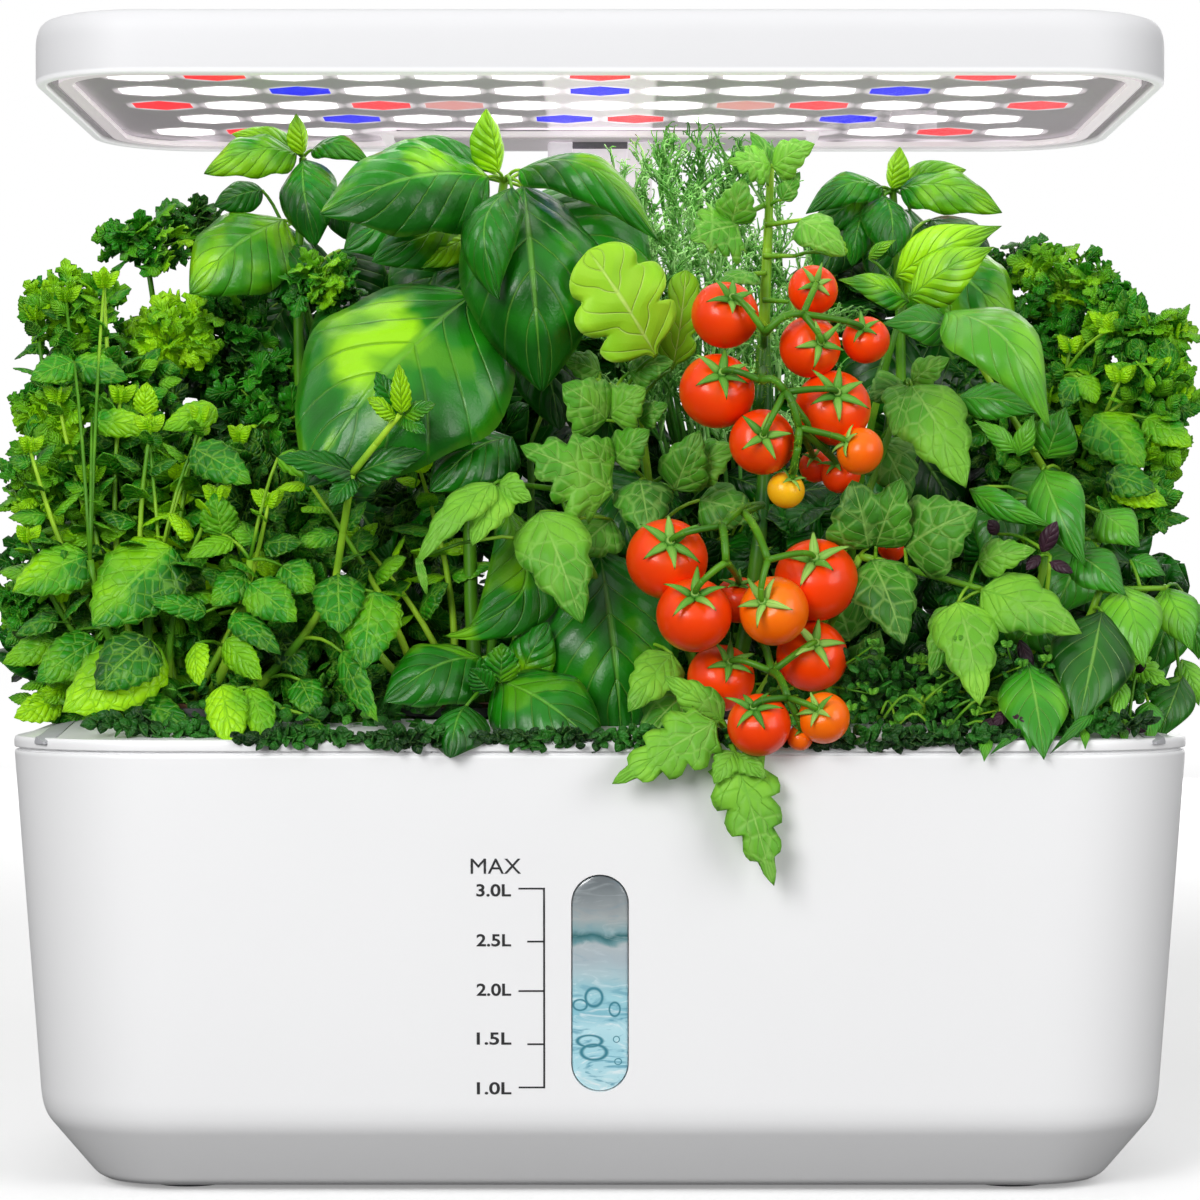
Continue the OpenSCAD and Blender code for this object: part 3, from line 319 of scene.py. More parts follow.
def dress(piece, material, body, replaced=(), angle=32):
    """Gives a finished piece its smooth shading, its material, and the body that it moves with."""
    pick(piece)
    bpy.ops.object.transform_apply(location=True, rotation=True, scale=True)
    bpy.ops.object.shade_smooth_by_angle(angle=math.radians(angle))
    coat(piece, material)
    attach(piece, body)
    if replaced:
        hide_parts(*replaced)


print("a 40 mm corner has", len(outline(281, 182, 40, 0)) // 4, "points")

# %% [markdown]
# ## White ABS
# The tank, the deck and the lamp's casing are injection moulded ABS. The mould has a fine spark-eroded
# grain, so the white is satin, not glossy, and a highlight spreads a little. The grain is about 0.7 mm
# here, a bit coarser than the real one, so that it shows. A very faint drift of tone keeps it from
# looking painted on.

# %% Moulded ABS
def moulded_abs(name, light, dark, roughness, grain_mm=0.7, grain_depth=0.04):
    """Satin injection moulded plastic with a fine grain, between two close shades."""
    material, tree, shader = new_material(name)
    place = add(tree, "TexCoord").outputs["Object"]
    drift = add(tree, "TexNoise", {"Vector": place, "Scale": 14.0, "Detail": 2.0})
    shade = add(tree, "Mix", {0: drift.outputs["Fac"], 6: linear(dark), 7: linear(light)}, data_type="RGBA")
    fill(shader, {"Base Color": shade.outputs[2]})
    fineness = {"Vector": place, "Scale": 1 / (grain_mm * MM), "Detail": 3.0, "Roughness": 0.6}
    grain = add(tree, "TexNoise", fineness)
    worn = add(tree, "MapRange", {"Value": grain.outputs["Fac"],
                                  "To Min": roughness - 0.06, "To Max": roughness + 0.06})
    fill(shader, {"Roughness": worn})
    bump = add(tree, "Bump", {"Height": grain.outputs["Fac"], "Strength": grain_depth, "Distance": 0.2 * MM})
    fill(shader, {"Normal": bump, "IOR": 1.53, "Specular IOR Level": 0.5})
    return material


white_abs = moulded_abs("white_abs", "F6F6F7", "F1F1F2", 0.36)
lamp_abs = moulded_abs("lamp_white_abs", "E8E8EA", "E3E3E5", 0.46)
fill(main_shader(lamp_abs), {"Specular IOR Level": 0.28})


def painted_lens_light(material, low_mm, high_mm, strength, colour="FBEFFC"):
    """Paints the lenses' light on a moulding between two heights: painted light, a little glow though it is no
    lamp.
    """
    tree = material.node_tree
    split = add(tree, "SeparateXYZ", {0: add(tree, "TexCoord").outputs["Object"]})
    near = add(tree, "MapRange", {"Value": split.outputs["Z"], "From Min": low_mm * MM,
                                  "From Max": high_mm * MM, "To Min": 0.0, "To Max": strength})
    fill(main_shader(material), {"Emission Strength": near, "Emission Color": linear(colour)})
    return material


# painted light: the casing's lower lip glows white, so its underside does not stay dark in shade
painted_lens_light(lamp_abs, 263.6, 262.3, 0.55, "FFFFFF")
# painted light: the mast column glows a little, more towards its top, for the lenses' light that falls on it
mast_abs = painted_lens_light(moulded_abs("mast_white_abs", "F2F0F3", "EDEBEE", 0.4), 205, 262, 0.42)
print("materials:", white_abs.name, lamp_abs.name)

# %% [markdown]
# ## The tank
# The tank widens by a few degrees from a 45 degree chamfer up to its rim, so that it leaves its mould and
# stacks. It is drawn as one closed wall: from the floor inside, up, over the rim with its small locating
# rib, and down the outside. The upright slot for the level window is then cut through the front wall.

# %% Tank
TANK_W, TANK_D, TANK_R = 281, 182, 40
RIM_Z, FOOT_Z, DRAFT = 103.6, 20.4, 6.5  # the wall's top and foot, and how far the foot is drawn in
TANK_PATH = [
    # inset from the rim's outline, height, rounding
    (21.9, 4.4, 0), (10.1, 17.4, 3), (8.9, 20.4, 2), (2.4, 102.8, 0.5), (2.4, 104.3, 0.2), (1.2, 104.3, 0.2),
    (1.2, 103.6, 0), (0.05, 103.6, 1.1), (6.5, 20.4, 2.2), (7.7, 16.4, 2.2), (19.5, 2.4, 1.6), (21.5, 1.4, 0),
]


def tank_ring(inset):
    """The tank's outline, drawn in by an inset."""
    return outline(TANK_W - 2 * inset, TANK_D - 2 * inset, TANK_R - inset, 0, 14)


tank = shell("tank_wall", [(tank_ring(max(a, 0.0)), b) for a, b in rounded_path(TANK_PATH, 5)])

WINDOW_W, WINDOW_H, WINDOW_Z = 13.3, 50.8, 50.6
WALL_TILT = math.atan(DRAFT / (RIM_Z - FOOT_Z))


def wall_y(z):
    """Where the front wall's outer face is at a height, in millimetres."""
    return -TANK_D / 2 + DRAFT * (RIM_Z - z) / (RIM_Z - FOOT_Z)


def slot_ring(inset):
    """The window slot's outline, drawn in by an inset."""
    return outline(WINDOW_W - 2 * inset, WINDOW_H - 2 * inset, WINDOW_W / 2 - inset - 0.01, 0, 12)


on_wall = (Matrix.Translation((0, wall_y(WINDOW_Z) * MM, WINDOW_Z * MM))
           @ Matrix.Rotation(math.radians(90) + WALL_TILT, 4, "X"))
slot = shell("slot_cutter", [(slot_ring(0), z) for z in (-8, 6)])
slot.data.transform(on_wall)
carve(tank, [slot])
dress(tank, white_abs, "base", ["tank"], angle=24)
print("tank faces:", len(tank.data.polygons))

# %% [markdown]
# ## The level window
# A clear polycarbonate lens fills the slot, and the water stands behind it. The lens is one domed pane
# with a rounded rim. Looking through a thick lens at moving water is hard to light, so the water is drawn
# on the pane by its real height, with its light and shade painted in: painted shade above the surface, a
# dark wavy waterline, ripples below it as painted highlights and painted shade, and a painted bright
# floor, with air bubbles as dark rings. A clear coat on top gives the glassy face.

# %% Water behind the lens
BUBBLES = [
    # across, up, half the width, half the height, in millimetres
    (-1.4, 34.6, 3.3, 2.0), (-2.4, 37.2, 3.2, 1.5), (-1.4, 47.4, 2.2, 2.4), (4.2, 32.4, 0.9, 0.8),
    (3.4, 44.6, 1.4, 1.8), (3.8, 37.6, 0.8, 0.8), (-4.6, 45.6, 1.8, 1.4),
]


def water_window():
    """Clear polycarbonate with the tank's water seen through it, painted by height in metres with its light and
    shade.
    """
    material, tree, shader = new_material("clear_lens_with_water")
    place = add(tree, "TexCoord").outputs["Object"]
    split = add(tree, "SeparateXYZ", {0: place})
    height = split.outputs["Z"]
    warp = add(tree, "TexNoise", {"Vector": place, "Scale": 120.0, "Detail": 3.0, "Distortion": 1.2})
    sway = add(tree, "MapRange", {"Value": warp.outputs["Fac"], "To Min": -0.0018, "To Max": 0.0018})
    wavy = add(tree, "Math", {0: height, 1: sway}, operation="ADD")
    run = add(tree, "MapRange", {"Value": wavy, "From Min": 0.0255, "From Max": 0.0758})
    colours = add(tree, "ValToRGB", {"Fac": run})
    ramp = colours.color_ramp
    # the water by height with painted light and shade: a bright lit floor, a dark waterline, darker grey above
    stops = [
        (0.0, "C9EEF5"), (0.17, "A9DCE8"), (0.29, "BEE7F0"), (0.37, "86C3D3"), (0.42, "A8DAE4"),
        (0.48, "9CCBD6"), (0.53, "B2CDD4"), (0.61, "AEBDC5"), (0.67, "B5C0C4"), (0.69, "6B979D"),
        (0.715, "2F6B70"), (0.74, "86A9AF"), (0.80, "A8AFB0"), (0.88, "8E9699"), (0.96, "6B7377"),
        (1.0, "50585C"),
    ]
    ramp.elements[0].position, ramp.elements[0].color = stops[0][0], linear(stops[0][1])
    ramp.elements[1].position, ramp.elements[1].color = stops[-1][0], linear(stops[-1][1])
    for at, code in stops[1:-1]:
        ramp.elements.new(at).color = linear(code)
    # fine ripples: painted highlights and painted shade, thin bright and dark lines that run mostly across,
    # every 3 mm or so
    flat = add(tree, "Mapping", {"Vector": place, "Scale": (90.0, 90.0, 330.0)})
    ripple = add(tree, "TexNoise", {"Vector": flat, "Scale": 1.0, "Detail": 4.0, "Distortion": 2.5})
    under = add(tree, "MapRange", {"Value": height, "From Min": 0.044, "From Max": 0.054,
                                   "To Min": 0.7, "To Max": 0.12})
    crest = add(tree, "MapRange", {"Value": ripple.outputs["Fac"], "From Min": 0.56, "From Max": 0.68})
    crest = add(tree, "Math", {0: crest, 1: under}, operation="MULTIPLY")
    trough = add(tree, "MapRange", {"Value": ripple.outputs["Fac"], "From Min": 0.44, "From Max": 0.32})
    trough = add(tree, "Math", {0: trough, 1: under}, operation="MULTIPLY")
    lit = add(tree, "Mix", {0: crest, 6: colours, 7: linear("F4FDFF")}, data_type="RGBA")
    deep = add(tree, "Mix", {0: trough, 6: lit.outputs[2], 7: linear("3E93AE")}, data_type="RGBA")
    # air bubbles: flattened rings of painted shade
    rings = None
    for x, z, wide, high in BUBBLES:
        moved = add(tree, "Mapping", {"Vector": place, "Location": (-x * MM, 0, -z * MM)})
        stretch = (1 / (wide * MM), 0, 1 / (high * MM))
        round_it = add(tree, "VectorMath", {0: moved, 1: stretch}, operation="MULTIPLY")
        far = add(tree, "VectorMath", {0: round_it}, operation="LENGTH")
        ring = add(tree, "Math", {0: far.outputs["Value"], 1: 0.88}, operation="SUBTRACT")
        ring = add(tree, "Math", {0: ring}, operation="ABSOLUTE")
        ring = add(tree, "MapRange", {"Value": ring, "From Min": 0.22, "From Max": 0.06})
        rings = ring if rings is None else add(tree, "Math", {0: ring, 1: rings}, operation="MAXIMUM")
    bubbly = add(tree, "Mix", {0: rings, 6: deep.outputs[2], 7: linear("3F8798")}, data_type="RGBA")
    fill(shader, {"Base Color": bubbly.outputs[2], "Roughness": 0.25, "IOR": 1.58, "Coat Weight": 1.0,
                  "Coat Roughness": 0.04})
    return material


lens_water = water_window()
print("window material ready")

# %% Window lens
PANE_PATH = [
    # inset from the slot's outline, distance from the wall's face, rounding
    (3.0, -4.6, 0), (-2.9, -4.6, 0), (-2.9, -3.2, 0), (0.2, -3.2, 0), (0.2, -0.7, 0.4), (1.6, -0.35, 0.6),
    (4.6, -0.15, 0),
]
pane = shell("window_lens", [(slot_ring(a), b) for a, b in rounded_path(PANE_PATH, 3)])
pane.data.transform(on_wall)
dress(pane, lens_water, "base", ["tank_window"], angle=40)
print("pane faces:", len(pane.data.polygons))

# %% [markdown]
# ## The scale
# The litres are printed on the wall beside the window: plain numbers, a short and a long tick in turn,
# and one upright line. Ink is a hair thicker than the wall, so each mark is a thin mesh that stands
# 0.06 mm in front of it and follows its lean. The numbers are text, turned into a mesh before it is put
# in its place.

# %% Printed ink
printed_ink, tree, shader = new_material("black_pad_print_ink")
place = add(tree, "TexCoord").outputs["Object"]
speck = add(tree, "TexNoise", {"Vector": place, "Scale": 2500.0, "Detail": 2.0})
tone = add(tree, "Mix", {0: speck.outputs["Fac"], 6: linear("1C1C1E"), 7: linear("2B2B2D")}, data_type="RGBA")
fill(shader, {"Base Color": tone.outputs[2], "Roughness": 0.5})
INK_FRONT, INK_BACK = 0.06, -0.1  # how far a mark's two sides stand out from the wall


def wall_point(x, z, out):
    """A point in millimetres in front of the front wall at that height, standing out by so much."""
    return Vector((x, wall_y(z) - out * math.cos(WALL_TILT), z - out * math.sin(WALL_TILT))) * MM


def ink_bar(name, x0, z0, x1, z1):
    """A printed bar between two corners."""
    faces = [[0, 1, 2, 3], [7, 6, 5, 4], [0, 4, 5, 1], [1, 5, 6, 2], [2, 6, 7, 3], [3, 7, 4, 0]]
    corners = ((x0, z0), (x1, z0), (x1, z1), (x0, z1))
    points = [wall_point(x, z, out) for out in (INK_FRONT, INK_BACK) for x, z in corners]
    return settle(new_piece(name, points, faces))


SCALE_X = -12.9
marks = [ink_bar("scale_print", SCALE_X - 0.22, 26.2, SCALE_X + 0.22, 72.9)]
for k, (z, long) in enumerate([(72.7, True), (60.4, False), (48.9, True), (36.5, False), (26.4, True)]):
    marks.append(ink_bar(f"tick_{k}", SCALE_X - (5.9 if long else 3.9), z - 0.2, SCALE_X, z + 0.2))
LABELS = [("MAX", -24.0, 77.9, 3.5, 11.6)]  # words, middle, height of the middle, high, wide
for words, z in (("3.0L", 72.3), ("2.5L", 60.7), ("2.0L", 49.2), ("1.5L", 37.8), ("1.0L", 26.2)):
    LABELS.append((words, -24.5, z, 2.9, 8.0))
for words, x, z, high, wide in LABELS:
    bpy.ops.object.select_all(action="DESELECT")
    bpy.ops.object.text_add()
    label = bpy.context.object
    label.data.body = words
    label.data.align_x = "CENTER"
    label.data.align_y = "CENTER"
    label.data.offset = 0.0 if words == "MAX" else 0.02
    label.data.extrude = 0.03
    bpy.ops.object.convert(target="MESH")
    corners = [Vector(c) for c in label.bound_box]
    low = Vector((min(c[i] for c in corners) for i in range(3)))
    size = Vector((max(c[i] for c in corners) for i in range(3))) - low
    for v in label.data.vertices:
        u = (v.co.x - low.x) / size.x - 0.5
        w = (v.co.y - low.y) / size.y - 0.5
        v.co = wall_point(x + u * wide, z + w * high, INK_FRONT if v.co.z > 0 else INK_BACK)
    marks.append(label)
scale_print = join(marks)
scale_print.name = "scale_print"
dress(scale_print, printed_ink, "base", angle=20)
print("print marks:", len(marks))

# %% [markdown]
# ## The deck
# The deck lies on the rim, a shadow gap above it. Its edge is flat for a couple of millimetres, then it
# rises in a long slope from the front to a plateau with ten holes. The same ring method makes it, from the
# hollow underneath, round the skirt and the edge, and up to the plateau. The holes are cut in one go, and
# each gets the tube that guides its basket.

# %% Deck
PODS = [(-96, -48), (-32, -48), (32, -48), (96, -48), (-64, 0), (64, 0),
        (-96, 48), (-43, 48), (43, 48), (96, 48)]
POD_R, DECK_TOP = 15.2, 107.0
PORT_X, PORT_W, PORT_D = 114, 24, 28
HINGE_Y, HINGE_Z, EAR_R = 19.35, 114.8, 2.35


def between(ring_a, ring_b, t):
    """A ring part of the way from one ring to another."""
    return [(a[0] * (1 - t) + b[0] * t, a[1] * (1 - t) + b[1] * t) for a, b in zip(ring_a, ring_b)]


hollow = outline(252.2, 120.2, 25.6, 16.5, 14)
plateau = outline(257, 125, 28, 16.5, 14)
shoulder = tank_ring(2.0)
rings = [(hollow, 109.1), (hollow, 101.6), (tank_ring(3.6), 101.6), (tank_ring(3.6), 104.3)]
for a, b in rounded_path([(3.6, 104.3, 0), (0.0, 104.3, 0.4), (0.0, 107.0, 1.3), (2.0, 107.0, 0)], 5)[1:]:
    rings.append((tank_ring(a), b))
for t, lift in ((0.04, 0.1), (0.5, 2.25), (0.93, 4.15), (0.97, 4.38), (1.0, 4.5)):
    rings.append((between(shoulder, plateau, t), DECK_TOP + lift))
deck = shell("deck_shell", rings)

cutters = [tube(f"hole_{k}", POD_R, 0, 98, 116, pod) for k, pod in enumerate(PODS)]
cutters.append(box_shape("port_hole", (PORT_X - PORT_W / 2, -PORT_D / 2, 98),
                         (PORT_X + PORT_W / 2, PORT_D / 2, 118), 1.0))
carve(deck, cutters)

parts = [deck]
for k, pod in enumerate(PODS):
    parts.append(tube(f"guide_{k}", 18, POD_R, 101.6, 110.8, pod))
outer = [(PORT_X + x, y) for x, y in outline(PORT_W + 4, PORT_D + 4, 2.2, 0, 4)]
inner = [(PORT_X + x, y) for x, y in outline(PORT_W, PORT_D, 1.0, 0, 4)]
parts.append(shell("port_collar", [(inner, 109.5), (outer, 109.5), (outer, 113.2), (inner, 113.5)], hoop=True))
# the two ears that hold the flap's pin: a half round on a short post
bends = [math.radians(a) for a in range(0, 181, 20)]
profile = [(-EAR_R, -3.5), (EAR_R, -3.5)] + [(EAR_R * math.cos(a), EAR_R * math.sin(a)) for a in bends]
count = len(profile)
for side in (-1, 1):
    middle = PORT_X + side * 8.8
    points = [((middle + s * 2.5) * MM, (HINGE_Y + y) * MM, (HINGE_Z + z) * MM)
              for s in (-1, 1) for y, z in profile]
    faces = [list(range(count)), list(range(count, 2 * count))]
    faces += [[k, (k + 1) % count, count + (k + 1) % count, count + k] for k in range(count)]
    parts.append(settle(new_piece(f"ear_{side}", points, faces)))
deck = join(parts)
dress(deck, white_abs, "deck", ["deck"], angle=24)
print("deck faces:", len(deck.data.polygons))

# %% [markdown]
# ## The overflow strips
# Two grey soft strips run from front to back along the deck's ends. They lie on a surface that curves, so
# each strip is a narrow grid whose points are dropped on to the deck below them. The table of stuffs
# holds the finishes of the strips and of the small pieces further on.

# %% Soft grey strips
STUFFS = {
    # stuff: pattern and its inputs, how strong its relief is and how deep in mm, and what else it has
    # dull moulded elastomer with a fine, slightly dusty grain
    "rubber": ("TexNoise", {"Scale": 320.0, "Detail": 4.0}, 0.15, 0.2, {}),
    # powder coated metal: an even colour with a fine orange-peel of about 0.6 mm
    "powder coat": ("TexNoise", {"Scale": 1600.0, "Detail": 2.0}, 0.12, 0.1, {}),
    # moulded polypropylene: a waxy sheen and faint flow lines a few millimetres apart
    "polypropylene": ("TexNoise", {"Scale": 160.0, "Detail": 3.0, "Distortion": 1.0}, 0.08, 0.2, {"IOR": 1.49}),
    # crumbly or open-celled stuffs: dark pores in a lighter web, at a real pore size
    "peat": ("TexVoronoi", {"Scale": 1 / (1.6 * MM), "Randomness": 1.0}, 0.9, 0.5, {}),
    "foam": ("TexVoronoi", {"Scale": 1 / (1.1 * MM), "Randomness": 1.0}, 1.0, 0.5, {}),
}


def made_of(stuff, name, light, dark, roughness):
    """A finish of the table: two close shades in a pattern that also shows as relief."""
    kind, inputs, relief, depth_mm, more = STUFFS[stuff]
    material, tree, shader = new_material(name)
    pattern = add(tree, kind, {"Vector": add(tree, "TexCoord").outputs["Object"], **inputs})
    shade = add(tree, "Mix", {0: pattern, 6: linear(dark), 7: linear(light)}, data_type="RGBA")
    bump = add(tree, "Bump", {"Height": pattern, "Strength": relief, "Distance": depth_mm * MM})
    fill(shader, {"Base Color": shade.outputs[2], "Normal": bump, "Roughness": roughness, **more})
    return material


grey_rubber = made_of("rubber", "grey_silicone", "B9BABD", "A9AAAE", 0.62)
deck_surface = BVHTree.FromObject(deck, bpy.context.evaluated_depsgraph_get())


def deck_height(x, y):
    """The deck's surface at a place, in millimetres."""
    hit = deck_surface.ray_cast(Vector((x, y, 200)) * MM, Vector((0, 0, -1)))[0]
    return hit.z / MM if hit else DECK_TOP


def deck_strip(name, x_middle, y0, y1, width, rise, steps=40):
    """A low strip with round ends that follows the deck."""
    points, faces = [], []
    across = (-1.0, -0.9, -0.45, 0.0, 0.45, 0.9, 1.0)
    for k in range(steps + 1):
        y = y0 + (y1 - y0) * k / steps
        near_end = min(y - y0, y1 - y, width / 2)
        half = math.sqrt(max((width / 2) ** 2 - (width / 2 - near_end) ** 2, 0.04))
        for side in across:
            x = x_middle + side * half
            sunk = -0.8 if abs(side) == 1.0 or k in (0, steps) else rise
            points.append((x * MM, y * MM, (deck_height(x, y) + sunk) * MM))
    n = len(across)
    for k in range(steps):
        for i in range(n - 1):
            faces.append([k * n + i, k * n + i + 1, (k + 1) * n + i + 1, (k + 1) * n + i])
    under = len(points)
    points += [(x, y, z - 0.6 * MM) for x, y, z in points]
    faces += [[under + i for i in reversed(face)] for face in faces]
    edge = list(range(n)) + [k * n + n - 1 for k in range(1, steps + 1)]
    edge += [steps * n + i for i in range(n - 2, -1, -1)] + [k * n for k in range(steps - 1, 0, -1)]
    for k in range(len(edge)):
        a, b = edge[k], edge[(k + 1) % len(edge)]
        faces.append([a, b, under + b, under + a])
    return settle(new_piece(name, points, faces))


for side, name in ((-1, "left_strip"), (1, "right_strip")):
    strip = deck_strip(name, side * 129.4, -80, 62, 5.6, 0.25)
    dress(strip, grey_rubber, "deck", angle=50)
print("deck height at a strip's front:", round(deck_height(129.4, -76), 2))

# %% [markdown]
# ## The mast
# The outer mast is a white column with two rails and a recessed middle, on a foot plate that is screwed to
# the deck. A closed ring shell gives the column its soft edges, and the groove, the notch that lets the
# inner tube show, and the hole of the power socket are cut from it.

# %% Mast
MAST_W, MAST_D, MAST_Y = 28, 24, 60
MAST_PATH = [
    # inset from the column's outline, height
    (2.0, 116.5), (2.0, 261.9), (0.4, 261.9), (0.0, 261.5), (0.0, 111.8), (0.3, 111.5), (2.0, 111.5),
]


def mast_ring(inset):
    """The column's outline, drawn in by an inset."""
    return outline(MAST_W - 2 * inset, MAST_D - 2 * inset, max(2.2 - inset, 0.4), MAST_Y, 6)


mast = shell("mast_column", [(mast_ring(inset), z) for inset, z in MAST_PATH], hoop=True)
carve(mast, [box_shape("groove", (-7.4, 47, 120.5), (7.4, 48.9, 263), 0.3)])
carve(mast, [box_shape("notch", (-7.4, 47, 260.1), (7.4, 51.6, 263), 0.3)])
socket_hole = tube("socket_hole", 5.0, 0, -3, 3)
socket_hole.data.transform(Matrix.Translation((0, 71 * MM, 123.5 * MM))
                           @ Matrix.Rotation(math.radians(90), 4, "X"))
carve(mast, [socket_hole])
foot_path = rounded_path([(1.0, 111.5, 0), (0.0, 111.5, 0.2), (0.0, 116.5, 1.6), (6.0, 116.5, 0)], 5)
foot_plate = shell("foot_plate", [(outline(44 - 2 * a, 32 - 2 * a, 6.5 - a, 59, 8), b) for a, b in foot_path])
mast = join([mast, foot_plate])
dress(mast, mast_abs, "deck", ["mast_outer"], angle=30)
print("mast faces:", len(mast.data.polygons))

# %% [markdown]
# ## The lamp's casing
# The casing is a shallow tray, open below, with a generous radius along its top edge and a small one
# along its lower lip. It is one closed ring shell: up inside, round the lip, up the outside and over the
# top. Two round holes let the push buttons through.

# %% Lamp casing
LAMP_W, LAMP_D, LAMP_R, LAMP_Y = 271, 152, 28, -3


def lamp_ring(inset):
    """The lamp's outline, drawn in by an inset."""
    return outline(LAMP_W - 2 * inset, LAMP_D - 2 * inset, LAMP_R - inset, LAMP_Y, 12)


lamp_path = rounded_path([(4.4, 274.9, 0), (4.4, 266.35, 0), (2.4, 266.3, 0), (2.4, 262.2, 0.3),
                          (0.0, 262.2, 1.3), (0.0, 277.5, 6.0), (8.0, 277.5, 0)], 8)
casing = shell("lamp_casing", [(lamp_ring(a), b) for a, b in lamp_path])
carve(casing, [tube(f"button_hole_{k}", 5.3, 0, 270, 282, (x, 36)) for k, x in enumerate((-30, 30))])
dress(casing, lamp_abs, "lamp", ["hood_shell"], angle=30)
print("casing faces:", len(casing.data.polygons))

# %% [markdown]
# ## The light field
# Under the casing lies a grey reflector panel with rows of hexagonal lenses. Each lens glows, and its
# light spills on the grey round it. The lens solids are right as they are, so they only get a glowing
# material. The spill is painted on the panel: for any point the nearest lens is found by folding the
# pattern's spacing, 18.5 by 26.2 mm, back on itself, and the panel is lit by the distance from it.

# %% Lens and panel materials
def glowing_lens(name, core, edge, strength):
    """A frosted silicone lens that glows, its core and edge shades mixed in a fine frost."""
    material, tree, shader = new_material(name)
    place = add(tree, "TexCoord").outputs["Object"]
    frost = add(tree, "TexNoise", {"Vector": place, "Scale": 260.0, "Detail": 2.0})
    shade = add(tree, "Mix", {0: frost.outputs["Fac"], 6: linear(edge), 7: linear(core)}, data_type="RGBA")
    fill(shader, {"Base Color": shade.outputs[2], "Emission Color": shade.outputs[2],
                  "Emission Strength": strength, "Roughness": 0.4})
    return material


LENS_LOOKS = {
    "lens_white": ("FFFFFF", "FFFDF4", 2.6),
    "lens_red": ("F8404A", "E8202C", 1.1),
    "lens_blue": ("0A06F4", "0600E0", 1.0),
    "lens_far_red": ("E09A98", "D08886", 0.9),
}
for node, (core, edge, strength) in LENS_LOOKS.items():
    coat(nodes[node], glowing_lens("frosted_" + node, core, edge, strength))

reflector_grey, tree, shader = new_material("grey_reflector_panel")
place = add(tree, "TexCoord").outputs["Object"]
split = add(tree, "SeparateXYZ", {0: place})
spill = None
LENS_STEP, STAGGERED_Y = 18.5, 23.2  # the lenses' spacing in a row, and the place of the staggered row
# straight rows and staggered row: place of the first row, step between rows, shift along the row, and its end
for first_y, rows_step, shift_x, last_x in ((-55.4, 26.2, 0.0, 120.0), (STAGGERED_Y, 200.0, 9.25, 110.0)):
    folds = []
    for axis, shift, step in (("X", shift_x, LENS_STEP), ("Y", -first_y, rows_step)):
        fold = add(tree, "Math", {0: split.outputs[axis], 1: shift * MM}, operation="ADD")
        fold = add(tree, "Math", {0: fold, 1: 1 / (step * MM), 2: 0.5}, operation="MULTIPLY_ADD")
        fold = add(tree, "Math", {0: fold}, operation="FRACT")
        fold = add(tree, "Math", {0: fold, 1: step, 2: -step / 2}, operation="MULTIPLY_ADD")
        folds.append(fold.outputs[0])
    squares = add(tree, "Math", {0: folds[0], 1: folds[0]}, operation="MULTIPLY")
    far = add(tree, "Math", {0: folds[1], 1: folds[1], 2: squares}, operation="MULTIPLY_ADD")
    far = add(tree, "Math", {0: far}, operation="SQRT")
    glow = add(tree, "MapRange", {"Value": far, "From Min": 7.0, "From Max": 10.6,
                                  "To Min": 1.0, "To Max": 0.0}, interpolation_type="SMOOTHSTEP")
    # no lens past the last column, nor on the staggered row's line for the straight rows
    side = add(tree, "Math", {0: split.outputs["X"]}, operation="ABSOLUTE")
    side = add(tree, "Math", {0: side, 1: last_x * MM}, operation="LESS_THAN")
    glow = add(tree, "Math", {0: glow, 1: side}, operation="MULTIPLY")
    if spill is None:
        row = add(tree, "Math", {0: split.outputs["Y"], 1: -STAGGERED_Y * MM}, operation="ADD")
        row = add(tree, "Math", {0: row}, operation="ABSOLUTE")
        row = add(tree, "Math", {0: row, 1: 12.0 * MM}, operation="GREATER_THAN")
        spill = add(tree, "Math", {0: glow, 1: row}, operation="MULTIPLY")
    else:
        spill = add(tree, "Math", {0: glow, 1: spill}, operation="MAXIMUM")
grain = add(tree, "TexNoise", {"Vector": place, "Scale": 900.0, "Detail": 2.0})
grey = add(tree, "Mix", {0: grain.outputs["Fac"], 6: linear("8E8B8F"), 7: linear("A39FA4")}, data_type="RGBA")
# painted light: the strip in front of the mast is paler and glows, as if lit from both sides
side = add(tree, "Math", {0: split.outputs["X"]}, operation="ABSOLUTE")
strip = add(tree, "MapRange", {"Value": side, "From Min": 14.2 * MM, "From Max": 13.0 * MM})
pale = add(tree, "Mix", {0: strip, 6: grey.outputs[2], 7: linear("EBDDF0")}, data_type="RGBA")
fill(shader, {"Base Color": pale.outputs[2]})
# painted light: the whole panel glows a little, more round each lens and on the strip
power = add(tree, "Math", {0: spill, 1: 0.56, 2: 0.20}, operation="MULTIPLY_ADD")
power = add(tree, "Math", {0: strip, 1: 0.35, 2: power}, operation="MULTIPLY_ADD")
fill(shader, {"Emission Strength": power, "Emission Color": linear("FFF4FA"), "Roughness": 0.45})
coat(nodes["light_panel"], reflector_grey)
print("lens looks:", len(LENS_LOOKS))

# %% [markdown]
# ## Clear cover, bezel and clamp
# A thin acrylic sheet closes the light field. Light has to pass it both ways, so it is a mostly clear
# surface with a gloss, and not a thick glass. The bezel is a pale moulded ring, and the clamp plate behind
# it is powder coated zinc with a faint orange-peel. Both glow a little in the lenses' colour: painted light.

